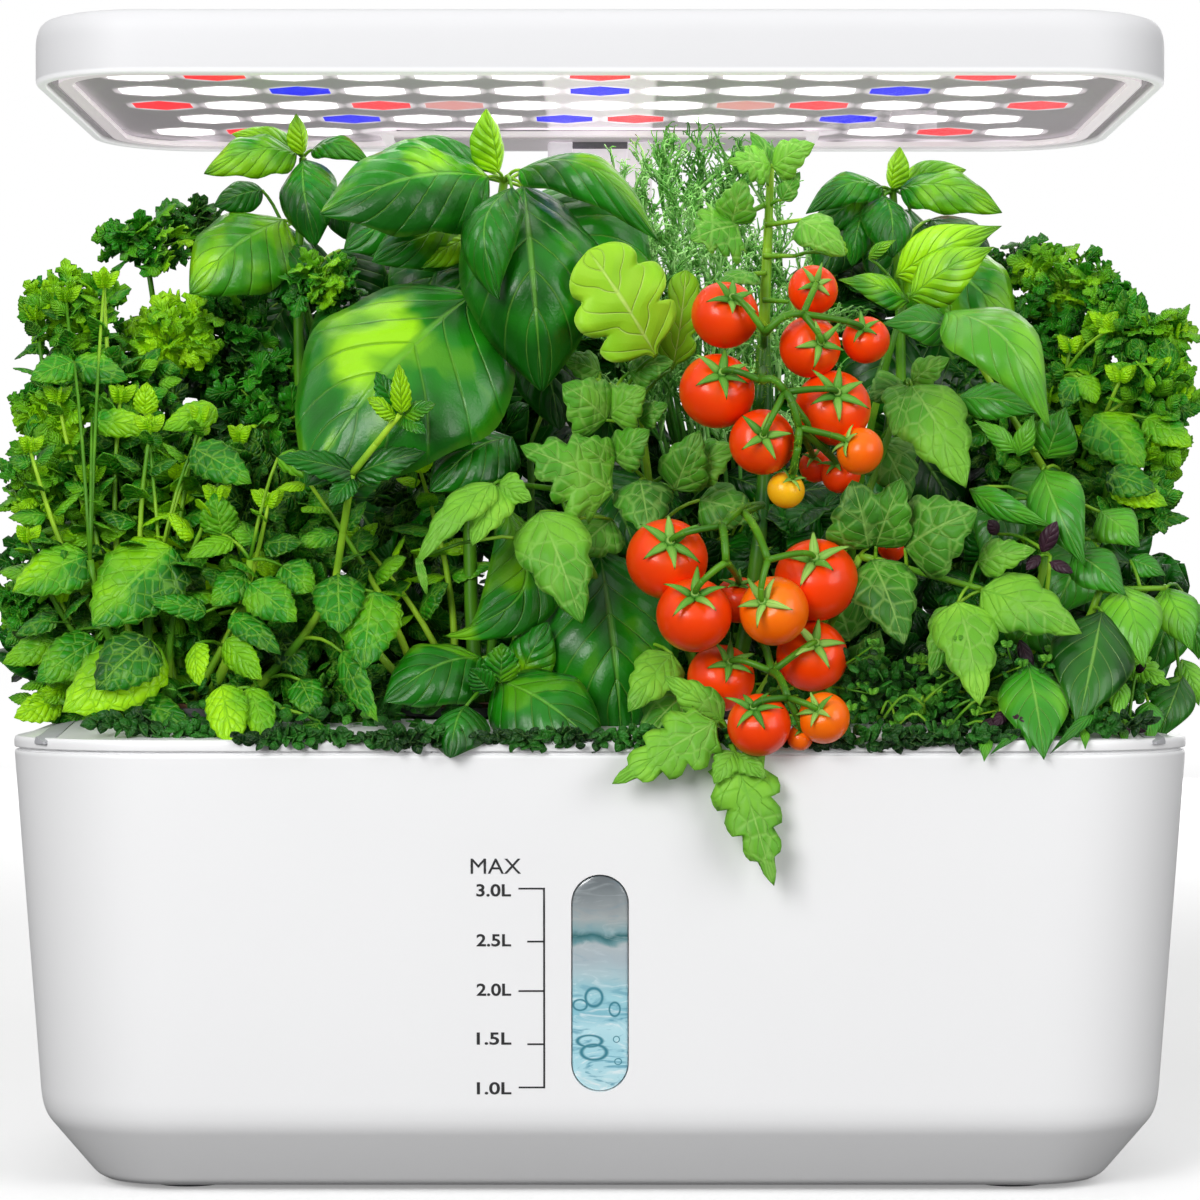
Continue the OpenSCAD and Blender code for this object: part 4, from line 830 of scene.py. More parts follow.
# %% Cover, bezel and clamp
clear_acrylic, tree, shader = new_material("clear_acrylic_sheet")
place = add(tree, "TexCoord").outputs["Object"]
smear = add(tree, "TexNoise", {"Vector": place, "Scale": 30.0, "Detail": 3.0})
rough = add(tree, "MapRange", {"Value": smear.outputs["Fac"], "To Min": 0.04, "To Max": 0.12})
fill(shader, {"Roughness": rough, "Base Color": linear("F4F6FA"), "Alpha": 0.04, "IOR": 1.49})
LENS_GLOW = linear("FFF4F8")  # the colour of the lenses' light on what stands beside them
bezel_abs = moulded_abs("bezel_white_abs", "F6F1F4", "EFEAED", 0.3)
# painted light: the bezel and the clamp glow a little for the lenses' light that falls on them
fill(main_shader(bezel_abs), {"Emission Color": LENS_GLOW, "Emission Strength": 0.5})
clamp_grey = made_of("powder coat", "grey_powder_coat", "B3AEB3", "A39EA3", 0.42)
fill(main_shader(clamp_grey), {"Emission Color": LENS_GLOW, "Emission Strength": 0.22})
tube_steel = made_of("powder coat", "satin_tube_coat", "8B8A90", "77767C", 0.32)
for node, material in (("light_cover", clear_acrylic), ("hood_bezel", bezel_abs),
                       ("hood_clamp", clamp_grey), ("mast_inner", tube_steel)):
    coat(nodes[node], material)
print("cover, bezel, clamp, inner mast")

# %% [markdown]
# ## Plain pieces that keep their solids
# The hidden and small pieces are right as solids. Each gets the finish that it has on the real object:
# turned steel for pins and screws, moulded polypropylene for the baskets and the pump, open foam for the
# filter, solder mask for the boards, and soft peat for the sponges.

# %% Finishes of the small pieces
# zinc plated steel with the fine rings that a lathe leaves, every 0.4 mm or so
steel, tree, shader = new_material("turned_zinc_plated_steel")
turning = {"Vector": add(tree, "TexCoord").outputs["Object"], "Scale": 800.0, "Distortion": 0.6, "Detail": 1.0}
rings = add(tree, "TexWave", turning, bands_direction="Z")
shade = add(tree, "Mix", {0: rings.outputs["Fac"], 6: linear("B4B6BA"), 7: linear("CDCFD2")}, data_type="RGBA")
fill(shader, {"Base Color": shade.outputs[2], "Metallic": 1.0, "Roughness": 0.3})

net_black = made_of("polypropylene", "black_polypropylene", "2E2F31", "242527", 0.45)
pump_black = made_of("polypropylene", "pump_black_polypropylene", "222326", "191A1C", 0.4)
lead_black = made_of("polypropylene", "black_pvc_lead", "1D1D1F", "151517", 0.5)
button_grey = moulded_abs("button_grey_abs", "D9DADC", "CFD0D3", 0.4)
SMALL = {
    "window_gasket": grey_rubber, "flap_pin": steel, "mast_screws": steel, "hood_screws": steel,
    "mast_lead": lead_black, "pump_lead": lead_black, "dc_inlet": pump_black, "pump_body": pump_black,
    "pump_cover": pump_black, "light_button": button_grey, "pump_button": button_grey,
    "fill_flap": moulded_abs("flap_white_abs", "F5F5F6", "F0F0F1", 0.36),
    "feet": made_of("rubber", "grey_rubber_feet", "8E8F92", "7F8083", 0.75),
    "mast_bush": made_of("polypropylene", "grey_acetal", "C9CACC", "BDBEC1", 0.35),
    "led_board": made_of("polypropylene", "white_solder_mask", "F1F2F0", "E4E6E3", 0.35),
    "driver_board": made_of("polypropylene", "green_solder_mask", "1E6B3C", "16562F", 0.3),
    "pump_impeller": made_of("polypropylene", "white_acetal", "EDEDEA", "E2E2DE", 0.35),
    "riser_tube": made_of("polypropylene", "milky_silicone_tube", "E9ECEC", "DDE2E2", 0.3),
    "pump_filter": made_of("foam", "black_filter_foam", "3A3B3D", "0E0E0F", 0.95),
    "grow_sponges": made_of("peat", "peat_sponge", "6B4A30", "2B1B10", 0.95),
    **{f"basket_{k}": net_black for k in range(1, len(PODS) + 1)},
}
for node, material in SMALL.items():
    coat(nodes[node], material)
print("small pieces dressed:", len(SMALL))

# %% [markdown]
# ## Leaves
# A leaf is a thin blade with a midrib, side veins and an edge that is smooth, toothed or lobed. There are
# many hundreds, and each has its own length, bend and tilt, so they are drawn by one function and not one
# by one. An outline is a short list of points from the stalk to the tip: how far along, and how wide. The
# blade is a small grid between that outline and the midrib, arched along its length, cupped across it,
# rippled at its edge and puckered between its veins. All leaves of one plant become one mesh, which then
# gets the thickness of a real leaf. Outlines and places are typed as tables of plain text, row by row.

# %% Leaf outlines
def cell(word):
    """A table's cell: a whole number, a number, a word, or a tuple of them with + or / between."""
    for mark in "+/":
        if mark in word:
            return tuple(cell(part) for part in word.split(mark))
    if word.lstrip("-").isdigit():
        return int(word)
    return word if word.strip("-.0123456789") else float(word)


def rows(table):
    """Reads a table: a row ends with its line or with a ; and may end in settings such as cup=.9.

    A row that starts with a number takes over the word that the row before it started with.
    """
    made = []
    for line in table.replace(";", "\n").strip().splitlines():
        words = [word.rpartition("=") for word in line.split()]
        row = tuple(cell(value) for name, _, value in words if not name)
        settings = {name: cell(value) for name, _, value in words if name}
        if made and isinstance(made[-1][0], str) and not isinstance(row[0], str):
            row = made[-1][:1] + row
        made.append(row + (settings,) if settings else row)
    return made


OUTLINES = {kind: points for kind, *points in rows("""
basil 0/.04 .04/.38 .12/.7 .24/.92 .38/1 .52/.96 .66/.8 .79/.56 .89/.31 .96/.12 1/0
mint 0/.06 .03/.5 .08/.66 .13/.86 .2/.86 .27/1 .34/.92 .42/.99 .49/.86 .57/.88 .64/.7 .72/.68 .78/.48 .86/.42 \
    .91/.22 1/0
tomato 0/.05 .06/.46 .08/.84 .17/.7 .26/1 .37/.92 .38/.64 .47/.82 .58/.74 .59/.46 .7/.56 .78/.44 .8/.24 \
    .9/.18 1/0
leaflet 0/.05 .05/.52 .12/.84 .22/.94 .33/1 .43/.92 .49/.74 .58/.77 .67/.66 .73/.46 .82/.4 .91/.2 1/0
oak 0/.05 .06/.16 .1/.5 .18/.8 .28/.86 .33/.7 .36/.6 .42/.84 .52/1 .61/.97 .66/.8 .69/.64 .77/.72 .87/.66 \
    .95/.42 1/0
pepper 0/.04 .05/.3 .15/.72 .27/.96 .4/1 .54/.88 .68/.63 .8/.37 .9/.16 1/0
parsley 0/.06 .17/.1 .12/.62 .24/.98 .36/.8 .36/.36 .52/.54 .56/.98 .72/.84 .72/.42 .88/.46 1/0
thread 0/.6 .3/1 .7/.8 1/0
small 0/.1 .14/.62 .32/.96 .5/1 .68/.84 .85/.5 1/0
sepal 0/.7 .2/1 .45/.8 .7/.45 .88/.2 1/0
""")}


def finer(points, times):
    """An outline with each step split into equal parts, eased so that it stays a curve."""
    made = []
    for i in range(len(points) - 1):
        p0 = points[max(i - 1, 0)]
        p1, p2 = points[i], points[i + 1]
        p3 = points[min(i + 2, len(points) - 1)]
        for k in range(times):
            t = k / times
            made.append(tuple(0.5 * (2 * p1[c] + (p2[c] - p0[c]) * t
                                     + (2 * p0[c] - 5 * p1[c] + 4 * p2[c] - p3[c]) * t * t
                                     + (3 * p1[c] - p0[c] - 3 * p2[c] + p3[c]) * t ** 3) for c in (0, 1)))
    return made + [points[-1]]


print("outlines:", ", ".join(OUTLINES))

# %% The leaf function
def new_growth():
    """An empty store of leaves or twigs, before they become one mesh."""
    return {"points": [], "faces": [], "uv": [], "tone": []}


def leaf(growth, kind, base, tip, width, face=(0, -1, 0.35), turn=0.0, arch=0.08, cup=0.12, wave=0.0,
         pucker=0.0, veins=6, tone=0.5, fine=1, half=1, phase=0.0, bend=0.0, halves=(0, 0), spots=()):
    """Adds one blade from its base to its tip, in millimetres; face is the way its upper side looks.

    bend curves the midrib sideways; halves add to the tone of each half: painted light on one half, painted
    shade on the other.
    A spot is a round patch of another tone, painted light where it adds and painted shade where it takes away:
    how far along, how far across from -1 to 1, its reach, its tone.
    """
    base, tip = Vector(base), Vector(tip)
    if bars_flap(base, tip):
        return
    along = tip - base
    length = max(along.length, 0.5)
    along.normalize()
    side = along.cross(Vector(face))
    if side.length < 0.05:
        side = along.cross(Vector((0.3, -0.2, 1)))
    side.normalize()
    normal = side.cross(along)
    if turn:
        spin = Matrix.Rotation(math.radians(turn), 3, along)
        side, normal = spin @ side, spin @ normal
    stations = finer(OUTLINES[kind], fine) if fine > 1 else OUTLINES[kind]
    start = len(growth["points"])
    last = len(stations) - 1
    for k, (edge_t, w) in enumerate(stations):
        middle_t = k / last
        for j in range(-half, half + 1):
            v = j / half
            a = abs(v)
            t = middle_t + (edge_t - middle_t) * a
            reach = v * w * width / 2
            rise = arch * length * math.sin(math.pi * min(max(t, 0), 1)) - cup * width / 2 * w * a * a
            if pucker:  # the blade rises between its side veins, which run out and forwards
                ridge = abs(math.sin(math.pi * veins * (t - 0.28 * a)))
                rise += pucker * width * ridge * math.sin(math.pi * min(a * 0.9 + 0.05, 1)) * w
            if wave:  # the edge ripples, out of step on the two sides
                lap = 2.6 * t + phase + 0.31 * (v > 0)
                rise += wave * width / 2 * w * a * a * math.sin(2 * math.pi * lap)
            swing = bend * length * math.sin(math.pi * min(max(middle_t, 0), 1))
            point = base + along * (t * length) + side * (reach + swing) + normal * rise
            growth["points"].append(point * MM)
            growth["uv"].append((t, 0.5 + 0.5 * v))
            # painted light and shade: the halves and the spots make parts of a blade lighter or darker
            patches = sum(more * max(0, 1 - ((t - at) ** 2 + (v / 2 - over / 2) ** 2) / reached ** 2)
                          for at, over, reached, more in spots)
            growth["tone"].append(tone + halves[v > 0] * min(1, a * 2.5) + patches)
    across = 2 * half + 1
    for k in range(last):
        for j in range(across - 1):
            a = start + k * across + j
            growth["faces"].append((a, a + 1, a + across + 1, a + across))


def twig(growth, path, thick, thin, tone=0.5, sides=6):
    """Adds a closed round stem along a path of points, in millimetres, from one radius to another."""
    path = [Vector(p) for p in path]
    start = len(growth["points"])
    last = len(path) - 1
    for k, here in enumerate(path):
        way = (path[min(k + 1, last)] - path[max(k - 1, 0)]).normalized()
        one = way.cross(Vector((0.13, 0.97, 0.21))).normalized()
        other = way.cross(one)
        radius = thick + (thin - thick) * k / last
        for s in range(sides):
            a = 2 * math.pi * s / sides
            growth["points"].append((here + (one * math.cos(a) + other * math.sin(a)) * radius) * MM)
            growth["uv"].append((k / last, s / sides))
            growth["tone"].append(tone)
    for k in range(last):
        for s in range(sides):
            n = (s + 1) % sides
            a = start + k * sides
            growth["faces"].append((a + s, a + n, a + sides + n, a + sides + s))
    growth["faces"].append(tuple(start + s for s in range(sides)))
    growth["faces"].append(tuple(start + last * sides + s for s in range(sides)))


def bow(a, b, sag=(0, 0, 0), steps=6):
    """A path from one point to another that bulges by sag in its middle."""
    a, b, sag = Vector(a), Vector(b), Vector(sag)
    return [a + (b - a) * (k / steps) + sag * math.sin(math.pi * k / steps) for k in range(steps + 1)]


# half the fill flap's width and its reach with some room, in millimetres, and how far it leans when opened
FLAP_HINGE, FLAP_HALF, FLAP_REACH, FLAP_LEAN = Vector((PORT_X, HINGE_Y, HINGE_Z)), 16, 43, 0.176


def past_flap(path):
    """Leads a stem's path over the space that the fill flap swings through.

    It stops to do so within 10 mm beside the flap, and from 14 to 36 degrees behind the upright.
    """
    led = []
    for point in path:
        arm = Vector((0, point.y - FLAP_HINGE.y, point.z - FLAP_HINGE.z))
        beside = max(abs(point.x - FLAP_HINGE.x) - FLAP_HALF, 0) / 10
        behind = max(math.degrees(math.atan2(arm.y, max(arm.z, 0.1))) - 14, 0) / 22
        hold = max(1 - beside, 0) * max(1 - behind, 0)
        if arm.z > 0 and 1 < arm.length < FLAP_REACH:
            point = point + arm.normalized() * (FLAP_REACH - arm.length) * hold
        led.append(point)
    return led


def bars_flap(base, tip):
    """Tells whether a leaf would stand in the opened flap."""
    def off_flap(point):
        """How far a point is from the opened flap's plane."""
        return abs(point.y - FLAP_HINGE.y - (point.z - FLAP_HINGE.z) * FLAP_LEAN)

    nearest = min((Vector(base) * (1 - k / 4) + Vector(tip) * k / 4 for k in range(5)), key=off_flap)
    up = nearest.z - FLAP_HINGE.z
    return off_flap(nearest) < 3.5 and abs(nearest.x - FLAP_HINGE.x) < FLAP_HALF + 1 and 0 < up < FLAP_REACH


def grow_piece(name, growth, material, thickness=0.28, replaced=(), angle=180):
    """Turns a store into one finished piece that rides on the deck."""
    piece = new_piece(name, growth["points"], growth["faces"])
    mesh = piece.data
    tone = mesh.attributes.new("tone", "FLOAT", "POINT")
    tone.data.foreach_set("value", growth["tone"])
    layer = mesh.uv_layers.new(name="blade")
    for corner in mesh.loops:
        layer.data[corner.index].uv = growth["uv"][corner.vertex_index]
    settle(piece, merge=0.000004)
    if thickness:
        wall = piece.modifiers.new("thickness", "SOLIDIFY")
        wall.thickness = thickness * MM
        wall.offset = 0
        bpy.ops.object.modifier_apply(modifier="thickness")
    dress(piece, material, "deck", replaced, angle)
    print(name, "triangles:", sum(len(f.vertices) - 2 for f in mesh.polygons))


def frame_step(depth):
    """Millimetres for one step of the camera's frame, at a depth."""
    return (depth - CAMERA_Y / MM) / (LENS / SENSOR * FRAME)


def seen(across, down, depth):
    """The point, in millimetres, that the camera sees at that place of its frame, at that depth."""
    scale = frame_step(depth)
    return Vector(((across - FRAME / 2) * scale, depth, CAMERA_Z / MM - (down - FRAME / 2) * scale))


print("a frame step at the middle is", round(frame_step(0), 4), "mm")

# %% [markdown]
# ## Leaf surfaces
# A living leaf is waxy: its colour runs from black-green in the shade to yellow-green where young or lit
# through, the midrib and side veins are paler, and the blade bulges between them. The material reads each
# blade's own UV, with U along the midrib and V across, so the veins follow every bend. The side veins are
# lines of equal U minus a share of the distance from the midrib, which makes them point to the tip. A
# number stored with every leaf, its tone, picks the place between dark and bright: partly the leaf's own
# age, partly painted light and shade, and a bright blade glows a little as painted light.

# %% Leaf material
def living_leaf(name, colours, veins, vein_share=0.55, roughness=0.36, slant=0.30, net_mm=0, patch=0.22,
                bump_mm=0.5, coat=0.0):
    """A waxy leaf with a midrib and paired side veins.

    The colours are those of the shade, of the blade, of a blade that is lit through, and of the veins.
    """
    dark, middle, bright, vein = (linear(code) for code in colours.split())
    material, tree, shader = new_material(name)
    blade = add(tree, "UVMap", uv_map="blade")
    place = add(tree, "TexCoord").outputs["Object"]
    split = add(tree, "SeparateXYZ", {0: blade.outputs["UV"]})
    off = add(tree, "Math", {0: split.outputs["Y"], 1: 0.5}, operation="SUBTRACT")
    off = add(tree, "Math", {0: off}, operation="ABSOLUTE")
    off = add(tree, "Math", {0: off, 1: 2.0}, operation="MULTIPLY")
    run = add(tree, "Math", {0: off, 1: -slant, 2: split.outputs["X"]}, operation="MULTIPLY_ADD")
    run = add(tree, "Math", {0: run, 1: veins}, operation="MULTIPLY")
    fold = add(tree, "Math", {0: run, 1: 0.5}, operation="PINGPONG")
    line = add(tree, "MapRange", {"Value": fold, "From Min": 0.0, "From Max": 0.06,
                                  "To Min": 1.0, "To Max": 0.0}, interpolation_type="SMOOTHSTEP")
    fade = add(tree, "MapRange", {"Value": off, "From Min": 0.55, "From Max": 0.98,
                                  "To Min": 1.0, "To Max": 0.15})
    line = add(tree, "Math", {0: line, 1: fade}, operation="MULTIPLY")
    rib = add(tree, "MapRange", {"Value": off, "From Min": 0.015, "From Max": 0.06,
                                 "To Min": 1.0, "To Max": 0.0}, interpolation_type="SMOOTHSTEP")
    marks = add(tree, "Math", {0: line, 1: rib}, operation="MAXIMUM")
    if net_mm:
        net = add(tree, "TexVoronoi", {"Vector": place, "Scale": 1 / (net_mm * MM), "Randomness": 0.9},
                  feature="DISTANCE_TO_EDGE")
        lace = add(tree, "MapRange", {"Value": net.outputs["Distance"], "From Min": 0.02, "From Max": 0.11,
                                      "To Min": 0.6, "To Max": 0.0})
        marks = add(tree, "Math", {0: marks, 1: lace}, operation="MAXIMUM")
    rim = add(tree, "MapRange", {"Value": off, "From Min": 0.93, "From Max": 1.0,
                                 "To Min": 0.0, "To Max": 0.5})
    pale = add(tree, "Math", {0: marks, 1: rim}, operation="MAXIMUM")
    pale = add(tree, "Math", {0: pale, 1: vein_share}, operation="MULTIPLY")
    tone = add(tree, "Attribute", attribute_name="tone")
    cloud = add(tree, "TexNoise", {"Vector": place, "Scale": 55.0, "Detail": 2.0})
    drift = add(tree, "MapRange", {"Value": cloud.outputs["Fac"], "From Min": 0.40, "From Max": 0.60,
                                   "To Min": -patch, "To Max": patch})
    level = add(tree, "Math", {0: tone.outputs["Fac"], 1: drift}, operation="ADD", use_clamp=True)
    body = add(tree, "ValToRGB", {"Fac": level})
    ramp = body.color_ramp
    ramp.elements[0].color = dark
    ramp.elements[1].color = bright
    ramp.elements.new(0.5).color = middle
    # painted shade: a vein is paler than a dark blade, and darker than one that is lit through
    lit = add(tree, "MapRange", {"Value": level, "From Min": 0.62, "From Max": 0.8})
    mark = add(tree, "Mix", {0: lit, 6: vein, 7: middle}, data_type="RGBA")
    veined = add(tree, "Mix", {0: pale, 6: body, 7: mark.outputs[2]}, data_type="RGBA")
    fill(shader, {"Base Color": veined.outputs[2]})
    pillow = add(tree, "Math", {0: fold, 1: 0.5}, operation="POWER")
    height = add(tree, "Math", {0: marks, 1: -0.5, 2: pillow}, operation="MULTIPLY_ADD")
    if net_mm:
        height = add(tree, "Math", {0: net.outputs["Distance"], 1: 1.3, 2: height}, operation="MULTIPLY_ADD")
    fine = add(tree, "TexNoise", {"Vector": place, "Scale": 1400.0, "Detail": 2.0})
    height = add(tree, "Math", {0: fine.outputs["Fac"], 1: 0.12, 2: height}, operation="MULTIPLY_ADD")
    bump = add(tree, "Bump", {"Height": height, "Strength": 0.75, "Distance": bump_mm * MM})
    fill(shader, {"Normal": bump})
    # painted light: a bright blade glows a little, as though lit through
    glow = add(tree, "MapRange", {"Value": level, "From Min": 0.55, "From Max": 1.0,
                                  "To Min": 0.0, "To Max": 0.14})
    fill(shader, {"Emission Color": veined.outputs[2], "Emission Strength": glow, "Roughness": roughness,
                  "Specular IOR Level": 0.26, "Coat Weight": coat, "Coat Roughness": 0.25})
    return material


# name, colours, side veins, vein share, roughness, slant, net in mm, patches, relief in mm, coat
basil_leaf = living_leaf("waxy_basil_leaf", "053C05 1B7C0C 92D20A 86CC4A", 6, 0.36, 0.28, 0.34, 0, 0.2,
                         0.9, 0.2)
mint_leaf = living_leaf("crinkled_mint_leaf", "073A08 2A8C10 98D60A A0DC48", 6, 0.4, 0.4, 0.36, 3.2, 0.2, 0.5)
parsley_leaf = living_leaf("parsley_leaf", "0A3E0A 2A8E10 98D60E A8DC60", 4, 0.3, 0.4, 0.55, 0, 0.22, 0.4)
tomato_leaf = living_leaf("tomato_leaf", "1A5212 4E9A20 8AC83A ACD870", 5, 0.42, 0.5, 0.42, 4.5, 0.14, 0.4)
oak_leaf = living_leaf("oak_lettuce_leaf", "5A9C14 8CCC1A AEE038 D0EC80", 5, 0.6, 0.5, 0.3, 0, 0.12, 0.5)
pepper_leaf = living_leaf("glossy_pepper_leaf", "10440A 38941A 84CC2E 9CD45C", 6, 0.4, 0.3, 0.36, 0, 0.14,
                          0.5, 0.2)
dill_green = living_leaf("dill_thread", "4A9A36 7AC456 B4E894 B4E894", 1, 0.1, 0.5, 0.0, 0, 0.2, 0.1)
herb_leaf = living_leaf("small_herb_leaf", "0A330C 2A7A1C 74B834 94CC60", 3, 0.25, 0.45, 0.3, 0, 0.25, 0.3)
purple_leaf = living_leaf("purple_shoot_leaf", "1C0D16 3A1F2E 5A3A44 6B4A52", 4, 0.3, 0.4, 0.3, 0, 0.2, 0.3)
green_stem = living_leaf("ribbed_green_stem", "1C5410 549218 A8D434 A8D434", 2, 0.1, 0.4, 0.0, 0, 0.18, 0.2)
print("leaf materials:", len([m for m in bpy.data.materials if m.name.endswith("leaf")]))

# %% [markdown]
# ## How the plants are built up
# Every plant starts in its own basket: a stem rises from the sponge and forks, and each leaf hangs by a
# stalk from the nearest stem. Three rules place the leaves. Large leaves that one knows one by one are
# given by their two ends, as the camera sees them, and a depth. A sprig is an upright stem with pairs of
# leaves, each pair a quarter turn from the last, as in mint. A tuft is a crowd of small leaves round a
# point, as in parsley. Leaves deep inside are painted dark as shade and close the plant, so no daylight shows
# through it.

# %% Rules for placing leaves
SHAPES = dict(rows("""
basil arch=.12 cup=.42 wave=.07 pucker=.035 veins=6
mint arch=.08 cup=.25 wave=.05 pucker=.02 veins=6
tomato arch=.1 cup=.24 wave=.12 pucker=.02 veins=5
leaflet arch=.12 cup=.26 wave=.03 pucker=.02 veins=5
oak arch=.06 cup=.1 wave=.1 pucker=.01 veins=5
pepper arch=.14 cup=.3 wave=.05 pucker=.01 veins=6
parsley arch=.08 cup=.1 wave=.25 pucker=0 veins=4
small arch=.08 cup=.2 wave=0 pucker=0 veins=3
thread arch=.1 cup=0 wave=0 pucker=0 veins=1
"""))


def stem_points(stems, ends):
    """Draws stems and returns points along them to hang leaves on.

    Each stem is given by x, y and depth of both its ends, its radius at both, how it leans, and its tone.
    """
    anchors = []
    for x0, y0, d0, x1, y1, d1, thick, thin, lean, tone in ends:
        path = past_flap(bow(seen(x0, y0, d0), seen(x1, y1, d1), (lean, -abs(lean) * 0.3, 0), 8))
        twig(stems, path, thick, thin, tone, 7)
        anchors += path[1:]
    return anchors


def stalk(stems, anchors, base):
    """A stalk from the nearest stem point that isn't above the leaf's base."""
    below = [p for p in anchors if p.z < base.z + 4] or anchors
    start = min(below, key=lambda p: (p - base).length)
    gap = (start - base).length
    if gap > 1.5:
        twig(stems, bow(start, base, (0, 0, gap * 0.10), 4), 0.5, 0.4, 0.55, 5)


BROADER = 1.18  # a cupped blade looks narrower than it is


def blades(leaves, stems, anchors, known, fine=2, half=4):
    """Adds known leaves.

    Each is given by kind, x and y of its base and of its tip, width, depth of its base and of its tip, tone,
    turn, and changes to its kind's shape.
    """
    for kind, bx, by, tx, ty, width, depth, tip_depth, tone, turn, *changes in known:
        shape = SHAPES[kind] | (changes[0] if changes else {})
        base, tip = seen(bx, by, depth), seen(tx, ty, tip_depth)
        leaf(leaves, kind, base, tip, BROADER * width * frame_step((depth + tip_depth) / 2), turn=turn,
             tone=tone, fine=fine, half=half, phase=(bx * 0.37 + by * 0.11) % 1, **shape)
        stalk(stems, anchors, base)


def sprig(leaves, stems, kind, root, tip, pairs, length, width, tones, seed, start=0.3, lean=(0, 0, 0),
          thick=1.1, droop=0.15):
    """An upright stem with pairs of leaves that shrink towards its tip."""
    rng = random.Random(seed)
    path = past_flap(bow(root, tip, lean, 10))
    twig(stems, path, thick, thick * 0.4, rng.uniform(0.4, 0.8))
    for k in range(pairs):
        t = start + (1 - start) * (k + 0.5) / pairs
        i = min(int(t * 10), 9)
        here = path[i] + (path[i + 1] - path[i]) * (t * 10 - i)
        up = (path[i + 1] - path[i]).normalized()
        one = up.cross(Vector((0.2, 0.9, 0.1))).normalized()
        other = up.cross(one)
        size = 1 - 0.6 * (k / pairs) ** 1.6
        for s in (0, math.pi):
            a = k * math.pi / 2 + s + rng.uniform(-0.35, 0.35)
            out = one * math.cos(a) + other * math.sin(a)
            rise = 0.25 + 0.5 * k / pairs
            way = (out + up * rise - Vector((0, 0, droop))).normalized()
            base = here + out * thick
            reach = length * size * rng.uniform(0.85, 1.15)
            leaf(leaves, kind, base, base + way * reach, width * size * rng.uniform(0.9, 1.15),
                 face=up + Vector((0, -0.7, 0.2)), turn=rng.uniform(-20, 20), tone=rng.uniform(*tones),
                 phase=rng.random(), **SHAPES[kind])
    for k in range(4):
        a = k * math.pi / 2 + rng.random()
        way = Vector((0.9 * math.cos(a), 0.9 * math.sin(a) - 0.2, 0.8)).normalized()
        leaf(leaves, kind, path[-1], path[-1] + way * length * 0.5, width * 0.5, face=(0, -0.8, 0.6),
             tone=min(1, tones[1] + 0.15), **SHAPES[kind])


def tuft(leaves, stems, kind, root, x, y, depth, wide, high, thick, count, length, width, tones, seed,
         out=0.8, turn=45, stalks=True):
    """A crowd of small leaves round the point that the camera sees at x, y; sizes are in frame steps."""
    rng = random.Random(seed)
    step = frame_step(depth)
    middle = seen(x, y, depth)
    heart = middle - Vector((0, 0, high * step * 0.45))
    if root is not None:
        sag = ((heart.x - root.x) * 0.12, 0, 0)
        twig(stems, past_flap(bow(root, heart, sag, 8)), 1.2, 0.7, 0.45)
    for k in range(count):
        p = Vector((rng.uniform(-1, 1), rng.uniform(-1, 1), rng.uniform(-1, 1)))
        while p.length > 1:
            p = Vector((rng.uniform(-1, 1), rng.uniform(-1, 1), rng.uniform(-1, 1)))
        here = middle + Vector((p.x * wide * step, p.y * thick, p.z * high * step))
        way = Vector((p.x * out + rng.uniform(-0.6, 0.6), -0.25 + p.y * 0.4 + rng.uniform(-0.4, 0.3),
                      p.z * out * 0.7 + rng.uniform(-0.5, 0.6))).normalized()
        size = rng.uniform(0.7, 1.3)
        # painted light and shade: leaves at the front of the crowd are lighter, those behind darker
        front = 0.5 - 0.5 * p.y
        light = min(1, max(0, tones[0] + (tones[1] - tones[0]) * (0.55 * front + 0.45 * rng.random())))
        base = here - way * length * step * size * 0.5
        leaf(leaves, kind, base, base + way * length * step * size, width * step * size,
             face=(rng.uniform(-0.5, 0.5), -1, rng.uniform(-0.1, 1.0)), turn=rng.uniform(-turn, turn),
             tone=light, phase=rng.random(), **SHAPES[kind])
        if stalks and k % 2 == 0:
            start = heart + (base - heart) * 0.25
            sag = (0, 0, (base - start).length * 0.08)
            twig(stems, past_flap(bow(start, base, sag, 3)), 0.4, 0.3, 0.5, 3)


def pod_top(index, dx=0.0, dy=0.0):
    """A point just inside a basket's sponge, where a stem starts."""
    return Vector((PODS[index][0] + dx, PODS[index][1] + dy, 113.0))


print("shapes:", len(SHAPES))

# %% [markdown]
# ## Basil
# Sweet basil carries pairs of large spoon-shaped leaves that arch over and bulge between their veins.
# Three tall plants make the crown of the garden, each with a bright young leaf that stands up in its
# middle. One big leaf hangs down in front, painted as lit through on one half, with patches of painted light
# and shade.

